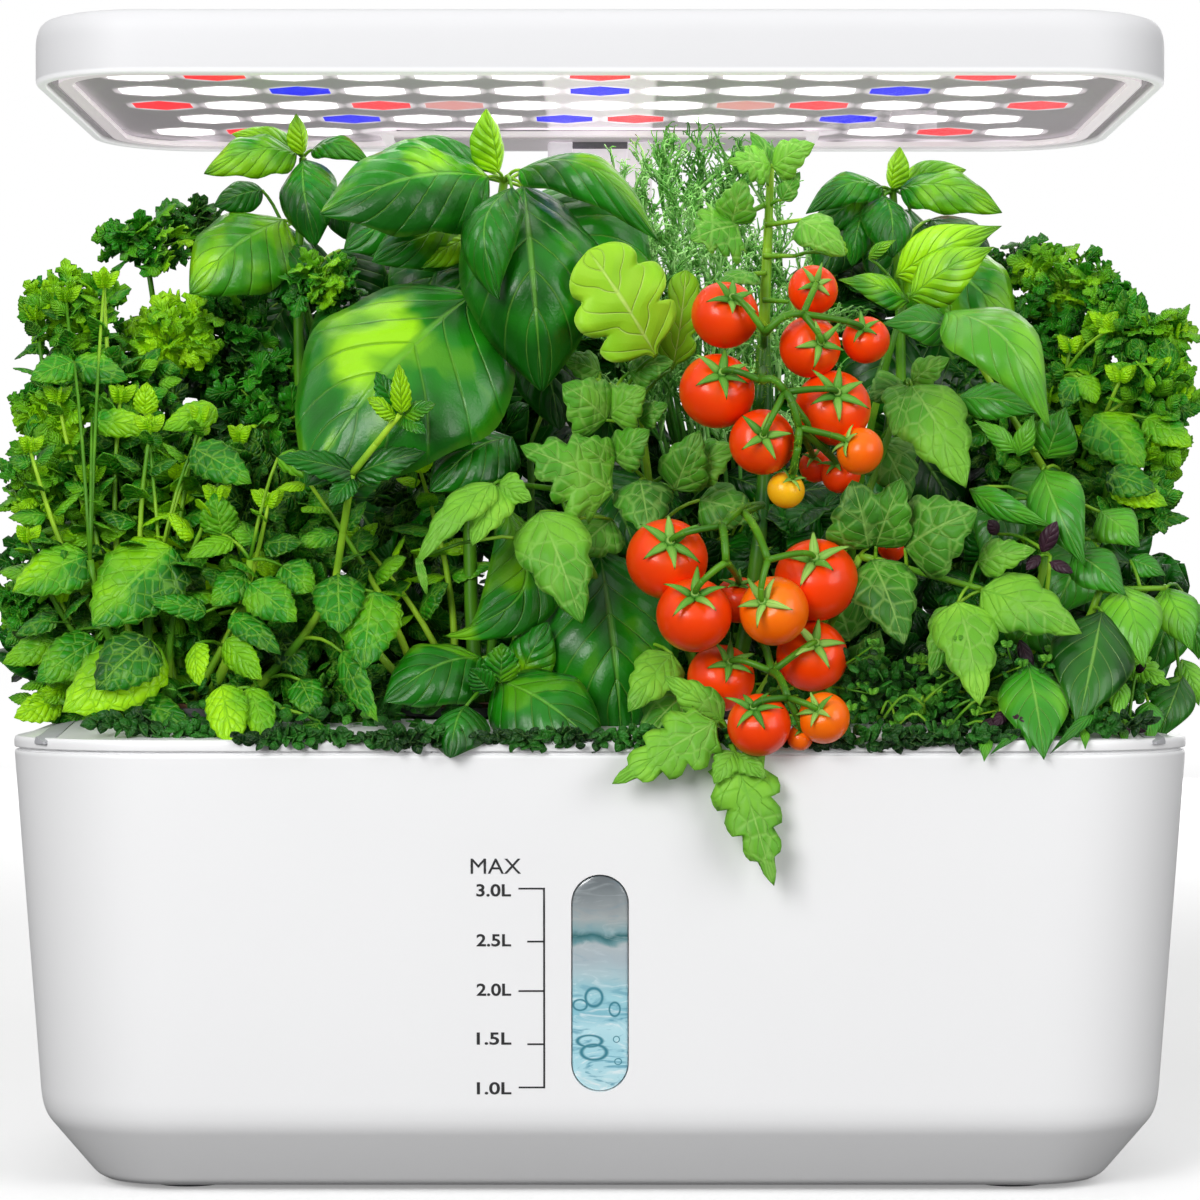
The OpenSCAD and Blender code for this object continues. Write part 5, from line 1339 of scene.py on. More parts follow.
# %% Basil
leaves, stems = new_growth(), new_growth()
anchors = stem_points(stems, rows("""
480 742 -48 504 182 -40 2 1.1 -5 .4; 488 742 -46 530 445 -40 1.4 .8 4 .4
495 742 -50 500 660 -62 1.3 .8 2 .5; 478 742 -42 470 300 -52 1.4 .8 6 .3
500 742 -46 590 560 -52 1.3 .8 6 .3; 470 742 -56 334 590 -62 1.1 .9 -3 .7
334 590 -62 352 474 -74 .9 .9 0 .85; 352 474 -74 400 414 -80 .9 .7 0 .9
"""))
blades(leaves, stems, anchors, rows("""
basil 498 172 486 109 32 -46 -50 1 25 cup=.9 arch=.05; 484 170 372 158 44 -36 -40 .66 -12 arch=.22
488 177 320 214 96 -46 -64 .56 4 arch=.16 wave=.12 pucker=.06 veins=8 halves=-.2/.14
520 170 657 240 50 -48 -60 .4 -14 arch=.34 cup=.6 halves=.1/-.1
534 196 650 304 110 -38 -50 .44 10 arch=.24 cup=.5
524 186 542 392 122 -50 -66 .34 0 arch=.22 cup=.7 pucker=.06 veins=5
512 188 500 300 50 -62 -74 .3 10 arch=.26 cup=.8 pucker=.06 bend=.12; 478 222 372 262 62 -34 -48 .52 0
476 236 418 268 30 -38 -46 .74 0; 440 200 344 250 70 -16 -26 .26 0; 470 240 400 330 90 -18 -30 .18 0
500 250 430 320 60 -30 -40 .2 0; mint 402 412 399 364 18 -82 -86 .95 0; 398 414 376 372 24 -80 -82 .3 0
396 416 367 398 18 -80 -84 .78 0; 404 416 436 404 18 -80 -84 .55 0; 404 418 426 434 16 -80 -84 .36 0
354 472 277 457 26 -74 -78 .3 0; 356 474 426 452 30 -74 -78 .26 0; 352 478 330 506 22 -74 -78 .32 0
basil 474 294 306 486 186 -54 -72 .44 10 arch=.12 cup=.34 pucker=.03 veins=5 halves=-.06/.02 \
    spots=.22/.62/.13/.5+.34/.2/.13/.55+.5/.42/.15/.4+.6/.18/.11/.45+.85/.12/.11/.4+.4/.95/.14/.25+\
.06/-.2/.24/-.3+.72/.8/.2/-.22+.72/-.35/.2/.14+.42/-.7/.14/-.16
512 438 430 492 66 -56 -68 .3 10 arch=.2; 540 330 560 430 60 -26 -36 .16 0
600 552 622 748 122 -56 -66 .36 -6 arch=.1 cup=.4 pucker=.03; 482 658 384 702 70 -66 -80 .44 12 arch=.18
498 680 603 752 84 -70 -84 .4 -10 arch=.14; 466 706 450 758 50 -84 -95 .28 10 arch=.2 cup=.7
518 684 548 622 42 -64 -66 .62 0; mint 500 682 502 643 34 -74 -78 .5 10; 490 690 470 668 24 -76 -80 .55 -20
basil 600 470 640 560 80 -20 -30 .12 0; 560 250 606 350 70 10 0 .18 0; 610 200 640 300 60 26 20 .16 0
590 360 620 460 70 10 0 .14 0; 400 300 330 400 110 -20 -34 .16 0
"""), fine=3, half=6)
# a leaf that curls round like a C, open to the left
leaf(leaves, "basil", seen(504, 506, -56), seen(443, 636, -70), 78 * frame_step(-60), face=(0.1, -1, 0.2),
     tone=0.52, fine=3, half=6, arch=0.06, cup=0.35, pucker=0.02, bend=-0.34)
grow_piece("basil_front_leaves", leaves, basil_leaf, 0.35, ["basil_front"])
grow_piece("basil_front_stems", stems, green_stem, 0)

leaves, stems = new_growth(), new_growth()
anchors = stem_points(stems, rows("""
352 728 0 303 158 -12 2 1 -6 .4; 355 728 2 284 228 -4 1.4 .8 6 .35
"""))
blades(leaves, stems, anchors, rows("""
basil 302 154 296 114 19 -16 -18 1 25 cup=.9; 296 153 204 174 44 -14 -22 .62 6 arch=.22 wave=.14
298 150 232 134 24 -8 -12 .85 -10 arch=.2; 312 150 370 163 26 -14 -20 .34 -10 arch=.3
304 160 316 246 50 -16 -26 .32 10 arch=.22 cup=.7 pucker=.05; 284 220 190 294 92 -10 -20 .74 10 arch=.14
286 226 272 300 58 -8 -18 .42 -8 arch=.14; 262 190 214 206 30 -4 -6 .35 0; 330 200 392 236 46 -6 -10 .3 0
290 300 240 390 70 6 0 .14 0; 320 330 360 430 70 8 4 .12 0; 300 430 250 520 70 10 4 .1 0
330 470 390 560 76 10 4 .1 0; 340 250 372 330 60 10 14 .2 0; 310 240 280 330 60 22 30 .2 0
"""), fine=2, half=5)
grow_piece("basil_left_leaves", leaves, basil_leaf, 0.35, ["basil_left"])
grow_piece("basil_left_stems", stems, green_stem, 0)

leaves, stems = new_growth(), new_growth()
anchors = stem_points(stems, rows("""
855 728 0 893 192 -14 2 1 6 .4; 852 728 2 905 300 -30 1.4 .8 -6 .45
"""))
blades(leaves, stems, anchors, rows("""
basil 892 188 900 147 21 -18 -20 1 -25 cup=.9; 901 188 1002 213 44 -16 -24 .64 -6 arch=.22 wave=.14
900 184 966 170 26 -10 -14 .85 10 arch=.22; 882 187 806 214 34 -16 -22 .34 10 arch=.3
874 194 814 234 36 -12 -18 .45 0 arch=.2; 884 196 892 258 44 -18 -28 .3 -10 arch=.2 cup=.7 pucker=.05
866 206 852 266 32 -16 -22 .34 10 arch=.2 cup=.7; 916 252 1014 330 92 -8 -20 .62 -10 arch=.14
pepper 896 276 1002 226 46 -34 -42 .8 8 arch=.2; 910 298 994 247 50 -42 -50 .7 -6 arch=.12
908 302 838 280 32 -40 -46 .7 10; 869 258 896 240 12 -30 -34 .8 0; basil 900 320 860 420 80 8 2 .16 0
930 330 990 420 80 8 2 .14 0; 900 430 960 520 80 10 4 .1 0; 880 440 820 540 80 10 4 .1 0
880 240 850 330 60 22 30 .2 0; 860 200 820 280 56 6 0 .18 0; 910 210 880 300 60 4 -4 .14 0
930 220 990 280 56 6 0 .18 0; 920 240 960 320 60 22 30 .2 0
"""), fine=2, half=5)
grow_piece("basil_right_leaves", leaves, basil_leaf, 0.35, ["basil_right"])
grow_piece("basil_right_stems", stems, green_stem, 0)

# %% [markdown]
# ## Mint
# Mint fills the two ends of the deck: square stems, crossed pairs of toothed leaves with a net of sunken
# veins, and pale tips. The low leaves are large and hang outwards, some of them painted as lit through.

# %% Mint
leaves, stems = new_growth(), new_growth()
anchors = stem_points(stems, rows("""
170 742 -48 160 560 -56 1.5 1 -4 .5; 180 742 -50 250 560 -62 1.4 .9 4 .7
165 742 -46 90 560 -58 1.4 .9 -3 .5; 185 742 -52 236 690 -78 1.2 .8 4 .8
170 742 -48 120 650 -66 1.2 .8 -4 .5; 190 742 -50 340 575 -68 1.4 .8 5 .5; 160 742 -44 60 700 -56 1 .7 -2 .5
"""))
blades(leaves, stems, anchors, rows("""
mint 88 556 12 592 50 -56 -62 .6 6 halves=-.25/.1; 172 547 92 628 80 -58 -66 .55 6 halves=-.25/.1
206 612 147 600 22 -64 -66 .35 0; 245 574 212 606 32 -62 -66 .5 0; 250 584 297 622 40 -66 -72 .55 0
232 615 281 655 27 -66 -74 .4 -10; 338 575 340 634 46 -68 -76 .24 0; 374 592 364 670 56 -68 -78 .5 8
282 566 314 592 36 -60 -64 .45 0; 222 534 214 493 34 -60 -62 .42 0; 232 540 186 558 22 -62 -68 .5 12
160 648 62 712 70 -64 -70 .82 6; 150 640 96 690 56 -68 -74 .12 4; 60 640 2 664 30 -48 -52 .72 0
96 640 36 682 44 -54 -58 .62 0; 60 700 14 718 30 -50 -54 .92 0; 222 686 236 751 38 -80 -90 .84 6
250 688 268 745 32 -78 -88 .8 -8; 102 712 101 742 18 -60 -66 .9 0; 116 712 118 738 13 -60 -66 .85 0
196 644 200 686 26 -70 -76 .9 30; 226 640 262 680 30 -68 -74 .9 20; 342 652 378 722 28 -72 -82 .42 30
300 680 316 716 32 -66 -72 .3 0; 280 640 306 676 30 -58 -64 .2 0; 160 560 206 590 40 -50 -54 .2 0
130 700 190 722 30 -60 -70 .3 0; 320 722 300 748 22 -72 -80 .35 0; 278 458 352 478 24 -64 -72 .45 10
193 448 252 484 38 -56 -62 .45 0; 92 420 160 430 26 -44 -50 .7 10; 216 408 162 430 28 -44 -50 .6 0
145 414 147 382 22 -44 -46 .95 0; 104 286 104 266 13 -26 -28 .95 0; 74 362 30 380 30 -40 -46 .72 0
74 362 128 380 30 -36 -40 .5 0
"""))
for k, (root, x, y, depth, pairs, length, width) in enumerate(rows("""
0 66 300 -26 7 11 7.5; 0 104 286 -26 7 11 7.5; 0 36 318 -24 6 10 7; 0 30 450 -50 5 10 7; 0 58 400 -40 6 10 7
0 120 400 -40 6 11 8; 0 150 430 -50 6 11 8; 0 200 420 -46 6 11 8; 0 28 540 -56 4 10 7; 0 215 500 -60 4 11 8
0 268 505 -62 4 11 8; 1 300 470 -60 5 11 8; 0 90 480 -46 5 11 8; 0 180 470 -40 6 11 8; 0 240 440 -40 6 11 8
1 420 470 -46 5 11 7; 0 60 600 -44 3 10 7; 0 140 500 -30 5 12 8; 0 250 560 -36 5 12 8; 1 360 540 -44 4 12 8
0 20 620 -36 3 9 6
""")):
    foot = pod_top(root, (x - 600) * 0.02 + 4 * math.sin(k * 2.1), 4 * math.cos(k * 1.7))
    sprig(leaves, stems, "mint", foot, seen(x, y, depth), pairs, length, width, (0.25, 0.85), 100 + k,
          start=0.42 if y < 450 else 0.5, lean=(-4 if x < 250 else 3, 0, 0))
grow_piece("mint_left_leaves", leaves, mint_leaf, 0.3, ["mint_left"])
crowd = new_growth()
for k, (x, y, depth, wide, high, count, length, tones) in enumerate(rows("""
60 330 -20 40 46 50 27 .2/.8; 104 400 -26 84 54 100 29 .1/.75; 46 480 -36 44 60 70 27 .2/.85
150 480 -36 100 64 120 31 .05/.65; 270 500 -40 80 64 90 32 .05/.5; 46 610 -36 44 54 60 27 .1/.85
180 620 -44 116 66 130 34 .05/.65; 320 600 -48 84 76 90 34 .05/.45; 300 696 -54 160 36 110 31 .05/.5
110 696 -46 90 34 90 28 .1/.85; 420 480 -36 60 70 50 32 .05/.4; 410 600 -34 60 60 40 34 0/.3
""")):
    tuft(crowd, stems, "mint", None, x, y, depth, wide, high, 9, count, length, length * 0.7, tones, 700 + k,
         stalks=False)
grow_piece("mint_left_crowd", crowd, mint_leaf, 0.3)
grow_piece("mint_left_stems", stems, green_stem, 0)

leaves, stems = new_growth(), new_growth()
anchors = stem_points(stems, rows("""
962 728 48 1100 420 -20 1.5 .9 8 .5; 965 728 46 1110 480 -30 1.4 .9 4 .5
960 728 44 1060 380 -10 1.4 .8 4 .5
"""))
blades(leaves, stems, anchors, rows("""
mint 1146 418 1192 447 34 -24 -30 .7 -6; 1094 416 1144 468 54 -26 -34 .6 -6
1110 330 1110 312 14 -20 -22 .95 0; 1112 484 1168 506 30 -34 -40 .95 -6; 1108 474 1156 492 34 -38 -42 .14 -4
1078 378 1062 408 24 -20 -24 .4 0; 1082 376 1096 404 24 -20 -24 .55 0; 1180 384 1199 399 14 -16 -18 .7 0
"""))
for k, (x, y, depth, pairs, length, width) in enumerate(rows("""
1140 330 -14 7 11 7.5; 1104 326 -16 7 11 7.5; 1176 336 -14 6 10 7; 1160 370 -20 6 10 7; 1070 350 -10 6 11 8
1120 380 -24 6 11 8; 1180 400 -20 5 10 7; 1050 400 -10 6 11 8; 1090 440 -16 5 11 8; 1150 450 -24 5 10 7
1030 440 0 5 11 8; 1170 460 -10 4 10 7; 1130 500 -10 4 10 7; 1060 500 0 4 11 8
""")):
    foot = pod_top(9, 4 * math.sin(k * 2.1), 4 * math.cos(k * 1.7))
    sprig(leaves, stems, "mint", foot, seen(x, y, depth), pairs, length, width, (0.25, 0.85), 200 + k,
          start=0.45, lean=(3, 0, 0))
for k, (x, y, depth, wide, high, count, length, tones) in enumerate(rows("""
1140 330 -14 54 32 60 27 .2/.85; 1152 392 -20 46 44 70 28 .15/.8; 1080 400 -8 60 44 70 29 .05/.6
1150 452 -20 42 34 50 27 .15/.85; 1060 460 -10 64 44 70 29 0/.45; 1000 430 -10 50 54 50 30 0/.4
1120 505 -28 60 30 50 29 .1/.7
""")):
    tuft(leaves, stems, "mint", None, x, y, depth, wide, high, 9, count, length, length * 0.7, tones, 720 + k,
         stalks=False)
grow_piece("mint_right_leaves", leaves, mint_leaf, 0.3, ["mint_right"])
grow_piece("mint_right_stems", stems, green_stem, 0)

# %% [markdown]
# ## Parsley and the dark middle
# Parsley leaves are deeply cut and crisped, on long stalks that arch out from the middle. They stand
# behind the mint on the left, and climb to the right of the dill. Behind them all are leaves painted dark as
# shade.

# %% Parsley
leaves, stems = new_growth(), new_growth()
root = pod_top(6)
for k, (x, y, depth, wide, high, thick, count, length, width, tones) in enumerate(rows("""
146 240 6 52 30 10 60 27 23 .35/.95; 196 226 16 40 24 10 46 24 19 .05/.45
222 262 12 52 24 10 56 25 19 .05/.5; 76 302 -18 50 30 8 56 26 22 .35/.95; 166 332 -10 48 38 8 76 29 24 .45/1
236 322 4 68 46 12 84 27 22 .1/.6; 244 366 0 66 22 8 46 28 19 .1/.45; 56 412 -34 48 26 6 50 26 22 .5/1
322 282 -24 40 30 6 46 24 19 .1/.7; 36 486 -40 34 32 6 36 24 20 .4/.95; 22 604 -36 22 30 6 36 22 18 .3/.9
270 410 -10 60 44 10 60 30 24 .05/.4; 120 480 -26 90 44 8 70 29 24 .05/.5
60 570 -22 60 50 8 60 29 24 .02/.35; 110 370 -4 80 40 8 70 29 24 .05/.5
""")):
    foot = root + Vector((3 * math.sin(k), 3 * math.cos(k), 0))
    tuft(leaves, stems, "parsley", foot, x, y, depth, wide, high, thick, count, length, width, tones, 300 + k)
grow_piece("parsley_leaves", leaves, parsley_leaf, 0.3, ["parsley"])
grow_piece("parsley_stems", stems, green_stem, 0)

leaves, stems = new_growth(), new_growth()
root = pod_top(9, -3, 0)
for k, (x, y, depth, wide, high, thick, count, length, width, tones) in enumerate(rows("""
1066 276 6 52 30 10 60 26 22 .3/.9; 1012 262 14 36 26 8 40 24 18 .05/.45
1044 308 8 50 26 10 56 26 19 .05/.5; 1148 334 -10 44 22 8 50 26 22 .4/.95
1060 360 0 50 36 10 56 27 22 .05/.45; 1110 300 -4 26 20 6 30 22 18 .3/.8
1170 376 -16 26 32 6 40 25 20 .35/.9; 1000 380 6 60 50 10 60 29 24 .02/.35
1100 420 2 80 60 10 90 29 24 .02/.4
""")):
    tuft(leaves, stems, "parsley", root, x, y, depth, wide, high, thick, count, length, width, tones, 340 + k)
grow_piece("parsley_right_leaves", leaves, parsley_leaf, 0.3, ["mint_right"])
grow_piece("parsley_right_stems", stems, green_stem, 0)

leaves, stems = new_growth(), new_growth()
# painted shade: dark leaves that fill the middle, so no daylight shows through the plants
for k, (pod, x, y, depth, wide, high, count, length, tones) in enumerate(rows("""
7 470 480 22 140 110 60 74 0/.16; 7 430 330 14 90 90 26 70 .05/.3; 6 200 520 10 150 110 70 66 0/.18
6 250 380 30 110 80 34 64 0/.2; 8 720 500 8 150 130 60 70 0/.2; 9 980 540 14 170 110 70 66 0/.2
9 960 400 26 110 80 34 64 .02/.25; 8 620 330 14 60 90 26 60 0/.25; 8 790 520 -34 50 40 18 54 0/.2
5 850 260 20 60 50 18 54 0/.25; 5 950 280 22 60 40 16 54 0/.25; 6 90 640 -14 90 50 50 54 0/.25
6 250 640 -14 110 70 60 60 0/.2; 7 420 640 -14 110 70 50 62 0/.2; 7 590 650 -16 90 60 40 60 0/.2
8 730 640 -16 90 70 40 60 0/.2; 8 870 650 -20 90 60 50 56 0/.2; 9 1010 640 -16 90 70 50 58 0/.2
9 1120 620 -14 60 80 50 56 0/.25; 7 560 706 -20 520 24 110 50 0/.18
""")):
    tuft(leaves, stems, "basil", pod_top(pod), x, y, depth, wide, high, 14, count, length, length * 0.7, tones,
         400 + k, out=0.5, turn=30)
# basket, place in millimetres from the basket, height over the deck, spread, leaves
REAR = rows("""
6 -12 20 80 18 60; 6 -24 -6 60 22 50; 6 4 30 56 16 50; 6 12 12 70 18 50; 7 -8 26 62 18 60; 7 -18 -4 84 18 40
7 8 30 44 18 50; 7 -14 12 30 20 50; 8 2 16 84 14 40; 8 0 30 56 16 50; 8 4 14 34 18 50; 9 16 10 76 18 60
9 -6 20 60 18 50; 9 8 32 42 18 50; 9 2 8 26 18 40; 6 0 16 26 20 40; 4 -14 16 104 14 30; 5 14 16 104 14 30
""")
grow_piece("oregano_painted_shade_leaves", leaves, basil_leaf, 0.3, ["oregano"])
leaves = new_growth()
for k, (pod, x, y, z, spread, count) in enumerate(REAR):
    middle = Vector((PODS[pod][0] + x, PODS[pod][1] + y, DECK_TOP + z))
    back_rng = random.Random(460 + k)
    twig(stems, bow(pod_top(pod), middle, (0, 3, 0)), 1.1, 0.7, 0.4, 5)
    for n in range(count):
        p = Vector([back_rng.uniform(-1, 1) for _ in range(3)])
        way = Vector((p.x, abs(p.y) * 0.8, p.z * 0.4)).normalized()
        base = middle + Vector((p.x * spread, p.y * spread * 0.8, p.z * spread * 0.7))
        leaf(leaves, "basil", base, base + way * back_rng.uniform(11, 18), back_rng.uniform(8, 12),
             face=(p.x, 0.6, 0.8), tone=back_rng.uniform(0.1, 0.6), **SHAPES["basil"])
grow_piece("oregano_rear_leaves", leaves, basil_leaf, 0.3, ["oregano"])
grow_piece("oregano_stems", stems, green_stem, 0)

# %% [markdown]
# ## Dill
# Dill is all threads: a stem forks, each branch forks again, and the last ones are as thin as a hair. A
# thread is a three-sided twig, because there are hundreds of them.

# %% Dill
threads = new_growth()
rng = random.Random(7)


def feather(start, way, length, level):
    """A branch that forks into finer ones."""
    way = Vector(way).normalized()
    end = start + way * length
    twig(threads, bow(start, end, (rng.uniform(-1, 1), rng.uniform(-1, 1), rng.uniform(0, 1.5)), 3),
         0.22 + 0.16 * level, 0.18 + 0.08 * level, rng.uniform(0.2, 0.9), 3)
    if level == 0:
        return
    for k in range(5 if level == 1 else 6):
        fork = start + way * length * (0.25 + 0.75 * (k + 1) / 6)
        side = Vector((rng.uniform(-1, 1), rng.uniform(-1, 1), rng.uniform(-0.2, 0.9)))
        feather(fork, way * 0.55 + side * 0.8, length * rng.uniform(0.35, 0.55), level - 1)


for k, (x, y, depth) in enumerate(rows("""
650 190 14; 676 170 12; 700 160 18; 724 180 14; 748 200 12; 660 240 6; 690 230 4; 716 240 6; 742 250 4
668 300 0; 700 300 -4; 730 310 -4; 760 290 4; 790 250 10; 656 350 -6; 690 360 -8; 722 370 -8; 640 160 20
820 260 14; 650 280 2; 780 170 20; 634 220 10; 644 320 0; 612 230 14; 770 270 8; 790 300 6; 800 240 8
772 230 12; 780 330 4; 800 380 0; 770 400 -2; 790 360 4; 810 300 10; 760 350 2; 620 300 4; 604 330 8
626 190 16; 676 270 -2; 716 320 -10; 660 380 -10; 676 300 -12; 706 360 -14; 650 240 -4; 690 200 0
720 210 -2; 676 200 6; 704 200 10; 732 150 18; 630 270 8; 712 270 0; 684 330 -6; 744 340 -2; 664 150 16
690 140 14; 634 380 -4; 700 400 -8; 740 400 -4
""")):
    foot = pod_top(8, 3 * math.sin(k), 3 * math.cos(k))
    head = seen(x, y + 60, depth)
    twig(threads, bow(foot, head, ((head.x - foot.x) * 0.1, 0, 0), 8), 0.9, 0.5, 0.4, 5)
    feather(head, seen(x, y, depth) - head + Vector((rng.uniform(-4, 4), 0, 0)), 15, 2)
    feather(head, (rng.uniform(-0.8, 0.8), -0.3, 0.7), 14, 2)
    feather(head, (rng.uniform(-0.8, 0.8), -0.1, 0.5), 13, 2)
grow_piece("dill_threads", threads, dill_green, 0, ["dill"])

# %% [markdown]
# ## Tomato leaves
# The tomato's leaves are compound: soft, matt, coarsely lobed leaflets on a shared stalk, lighter and
# greyer than basil. They frame the fruit, and two hang over the tank's rim in front.

# %% Tomato plant
leaves, stems = new_growth(), new_growth()
anchors = stem_points(stems, rows("""
722 742 -48 764 330 -48 2 1.6 4 .15; 764 330 -48 771 166 -50 1.5 .9 0 .75
724 742 -46 640 400 -50 1.4 .8 -4 .55; 640 400 -50 575 370 -54 .9 .6 0 .6
724 742 -50 560 490 -62 1.3 .7 -6 .5; 726 742 -48 860 556 -72 1.3 .9 5 .55
860 556 -72 985 590 -72 1 .7 0 .55; 728 742 -46 905 384 -46 1.3 .8 5 .6; 722 742 -56 722 722 -88 1 .8 0 .5
722 722 -88 736 756 -95 .9 .7 0 .5; 764 205 -50 730 222 -54 .7 .5 0 .7; 766 225 -50 802 220 -54 .7 .5 0 .7
764 256 -50 795 256 -54 .7 .5 0 .7; 764 300 -50 790 302 -56 .7 .5 0 .7; 765 273 -50 752 274 -54 .7 .5 0 .7
560 490 -62 505 482 -70 .8 .5 0 .6
"""))
blades(leaves, stems, anchors, rows("""
tomato 771 166 727 162 40 -52 -58 .62 0; leaflet 773 167 815 144 36 -52 -58 .58 0
770 164 750 132 22 -50 -50 .35 20; tomato 738 226 690 240 62 -56 -62 .5 0
leaflet 732 224 744 178 36 -56 -60 .52 0; 782 200 800 172 18 -54 -54 .35 0; 800 220 845 256 38 -54 -60 .5 0
832 256 838 232 24 -50 -52 .85 0; 755 274 720 284 32 -56 -62 .4 30; 790 302 812 320 20 -58 -60 .4 0
606 420 562 384 58 -60 -66 .62 0; 610 416 646 388 46 -58 -62 .58 0; 600 372 562 360 32 -52 -56 .5 0
630 372 674 362 34 -54 -58 .52 0; 640 420 668 404 26 -56 -60 .25 0; 612 470 572 440 44 -62 -68 .5 0
615 460 650 430 40 -60 -66 .42 0; tomato 612 492 520 446 78 -64 -72 .52 0
leaflet 540 512 582 624 66 -70 -80 .6 0; 640 480 650 538 52 -58 -66 .25 0; 676 490 700 430 46 -56 -62 .42 0
690 470 736 446 44 -54 -58 .46 0; 700 500 760 520 46 -50 -52 .3 0; 612 520 570 560 50 -56 -62 .38 0
498 484 532 500 30 -72 -76 .74 20; 500 486 472 546 40 -72 -82 .8 0
494 484 416 566 34 -74 -84 .84 10 arch=.18; thread 418 558 427 596 8 -84 -86 .7 0
leaflet 868 548 852 480 66 -74 -80 .22 0 pucker=.06; 876 546 902 478 50 -74 -80 .26 0 pucker=.06
905 548 978 510 76 -74 -82 .22 0 pucker=.05; 872 560 904 645 60 -74 -84 .24 0 pucker=.05
982 590 1082 634 58 -74 -82 .68 0; 978 562 1036 550 34 -70 -76 .7 0; 958 602 980 706 56 -76 -88 .78 0
956 606 930 676 34 -72 -80 .62 0; 912 386 966 488 66 -60 -70 .62 0; 908 386 893 436 38 -58 -66 .6 0
912 382 950 358 30 -54 -60 .66 0; 905 384 868 400 40 -48 -54 .4 0; 880 440 910 500 50 -44 -48 .35 0
672 654 628 712 44 -70 -78 .7 0; tomato 716 722 612 784 58 -95 -99 .78 0 arch=.04
leaflet 722 722 664 676 36 -84 -88 .66 0; tomato 734 752 774 886 60 -95 -99 .74 0 arch=.03
leaflet 734 752 714 784 26 -95 -98 .6 0; 738 756 766 778 24 -95 -98 .6 0; 640 600 690 570 40 -50 -54 .3 0
850 640 820 560 60 -46 -50 .2 0; 690 690 640 740 50 -66 -76 .35 0; 850 700 880 630 50 -50 -56 .2 0
"""))
grow_piece("tomato_leaves", leaves, tomato_leaf, 0.3, ["tomato_plant"])

# hairs on the truss and the stem, as very short threads
hairs = new_growth()
rng = random.Random(11)


def hairy(path, count, reach):
    """Short hairs that stand off a stem's path."""
    for k in range(count):
        i = rng.randrange(len(path) - 1)
        here = path[i] + (path[i + 1] - path[i]) * rng.random()
        way = Vector((rng.uniform(-1, 1), rng.uniform(-1, 0.3), rng.uniform(-1, 1))).normalized()
        twig(hairs, [here, here + way * reach * rng.uniform(0.6, 1.3)], 0.07, 0.03, 0.9, 3)


# %% [markdown]
# ## Oak-leaf lettuce
# Two pale, deeply lobed leaves rise between the basil and the fruit, the near one nearly flat to the eye.

# %% Lobed leaves
lobed = new_growth()
blades(lobed, stems, anchors, rows("""
oak 656 356 588 250 92 -62 -70 .62 0; 672 370 686 270 40 -50 -56 .3 20
"""), fine=3, half=5)
grow_piece("lobed_leaves", lobed, oak_leaf, 0.3)

# %% [markdown]
# ## Cherry tomatoes
# A cherry tomato is a slightly flattened ball with a dimple at its stalk. The skin is thin wax over wet
# flesh, so it has a sharp highlight, and it ripens from the tip, so the shoulder stays orange. Each fruit
# is made from its own sphere whose top is drawn in. On top sits a star of pointed sepals, and a jointed
# stalk leads to the truss.
# Its colour also darkens towards the bottom, as painted shade.

# %% Tomato skins
def tomato_skin(name, shoulder, flesh, deep):
    """Ripe tomato skin: colour by the place on the fruit, darker low down as painted shade, and a clear wax on
    top.
    """
    material, tree, shader = new_material(name)
    ripe = add(tree, "Attribute", attribute_name="tone")
    place = add(tree, "TexCoord").outputs["Object"]
    cloud = add(tree, "TexNoise", {"Vector": place, "Scale": 90.0, "Detail": 2.0})
    drift = add(tree, "MapRange", {"Value": cloud.outputs["Fac"], "To Min": -0.18, "To Max": 0.18})
    level = add(tree, "Math", {0: ripe.outputs["Fac"], 1: drift}, operation="ADD", use_clamp=True)
    body = add(tree, "ValToRGB", {"Fac": level})
    ramp = body.color_ramp
    ramp.elements[0].color = linear(deep)
    ramp.elements[1].color = linear(shoulder)
    ramp.elements.new(0.45).color = linear(flesh)
    fill(shader, {"Base Color": body})
    speck = add(tree, "TexNoise", {"Vector": place, "Scale": 1500.0, "Detail": 1.0})
    bump = add(tree, "Bump", {"Height": speck.outputs["Fac"], "Strength": 0.03, "Distance": 0.1 * MM})
    fill(shader, {"Normal": bump, "Roughness": 0.34, "Coat Weight": 0.3, "Coat Roughness": 0.16,
                  "Specular IOR Level": 0.18, "Subsurface Weight": 0.08,
                  "Subsurface Radius": (0.004, 0.0012, 0.0006)})
    return material


ripe_skin = tomato_skin("ripe_tomato_skin", "FF7208", "F84200", "E43000")
orange_skin = tomato_skin("turning_tomato_skin", "FFA018", "FF7404", "FA5600")
yellow_skin = tomato_skin("young_tomato_skin", "FCD23C", "FABC14", "EAA00A")
calyx_green = living_leaf("tomato_calyx", "2E7018 66A838 B4D86C B4D86C", 1, 0.5, 0.5, 0.0, 0, 0.15, 0.4)
print("skins ready")

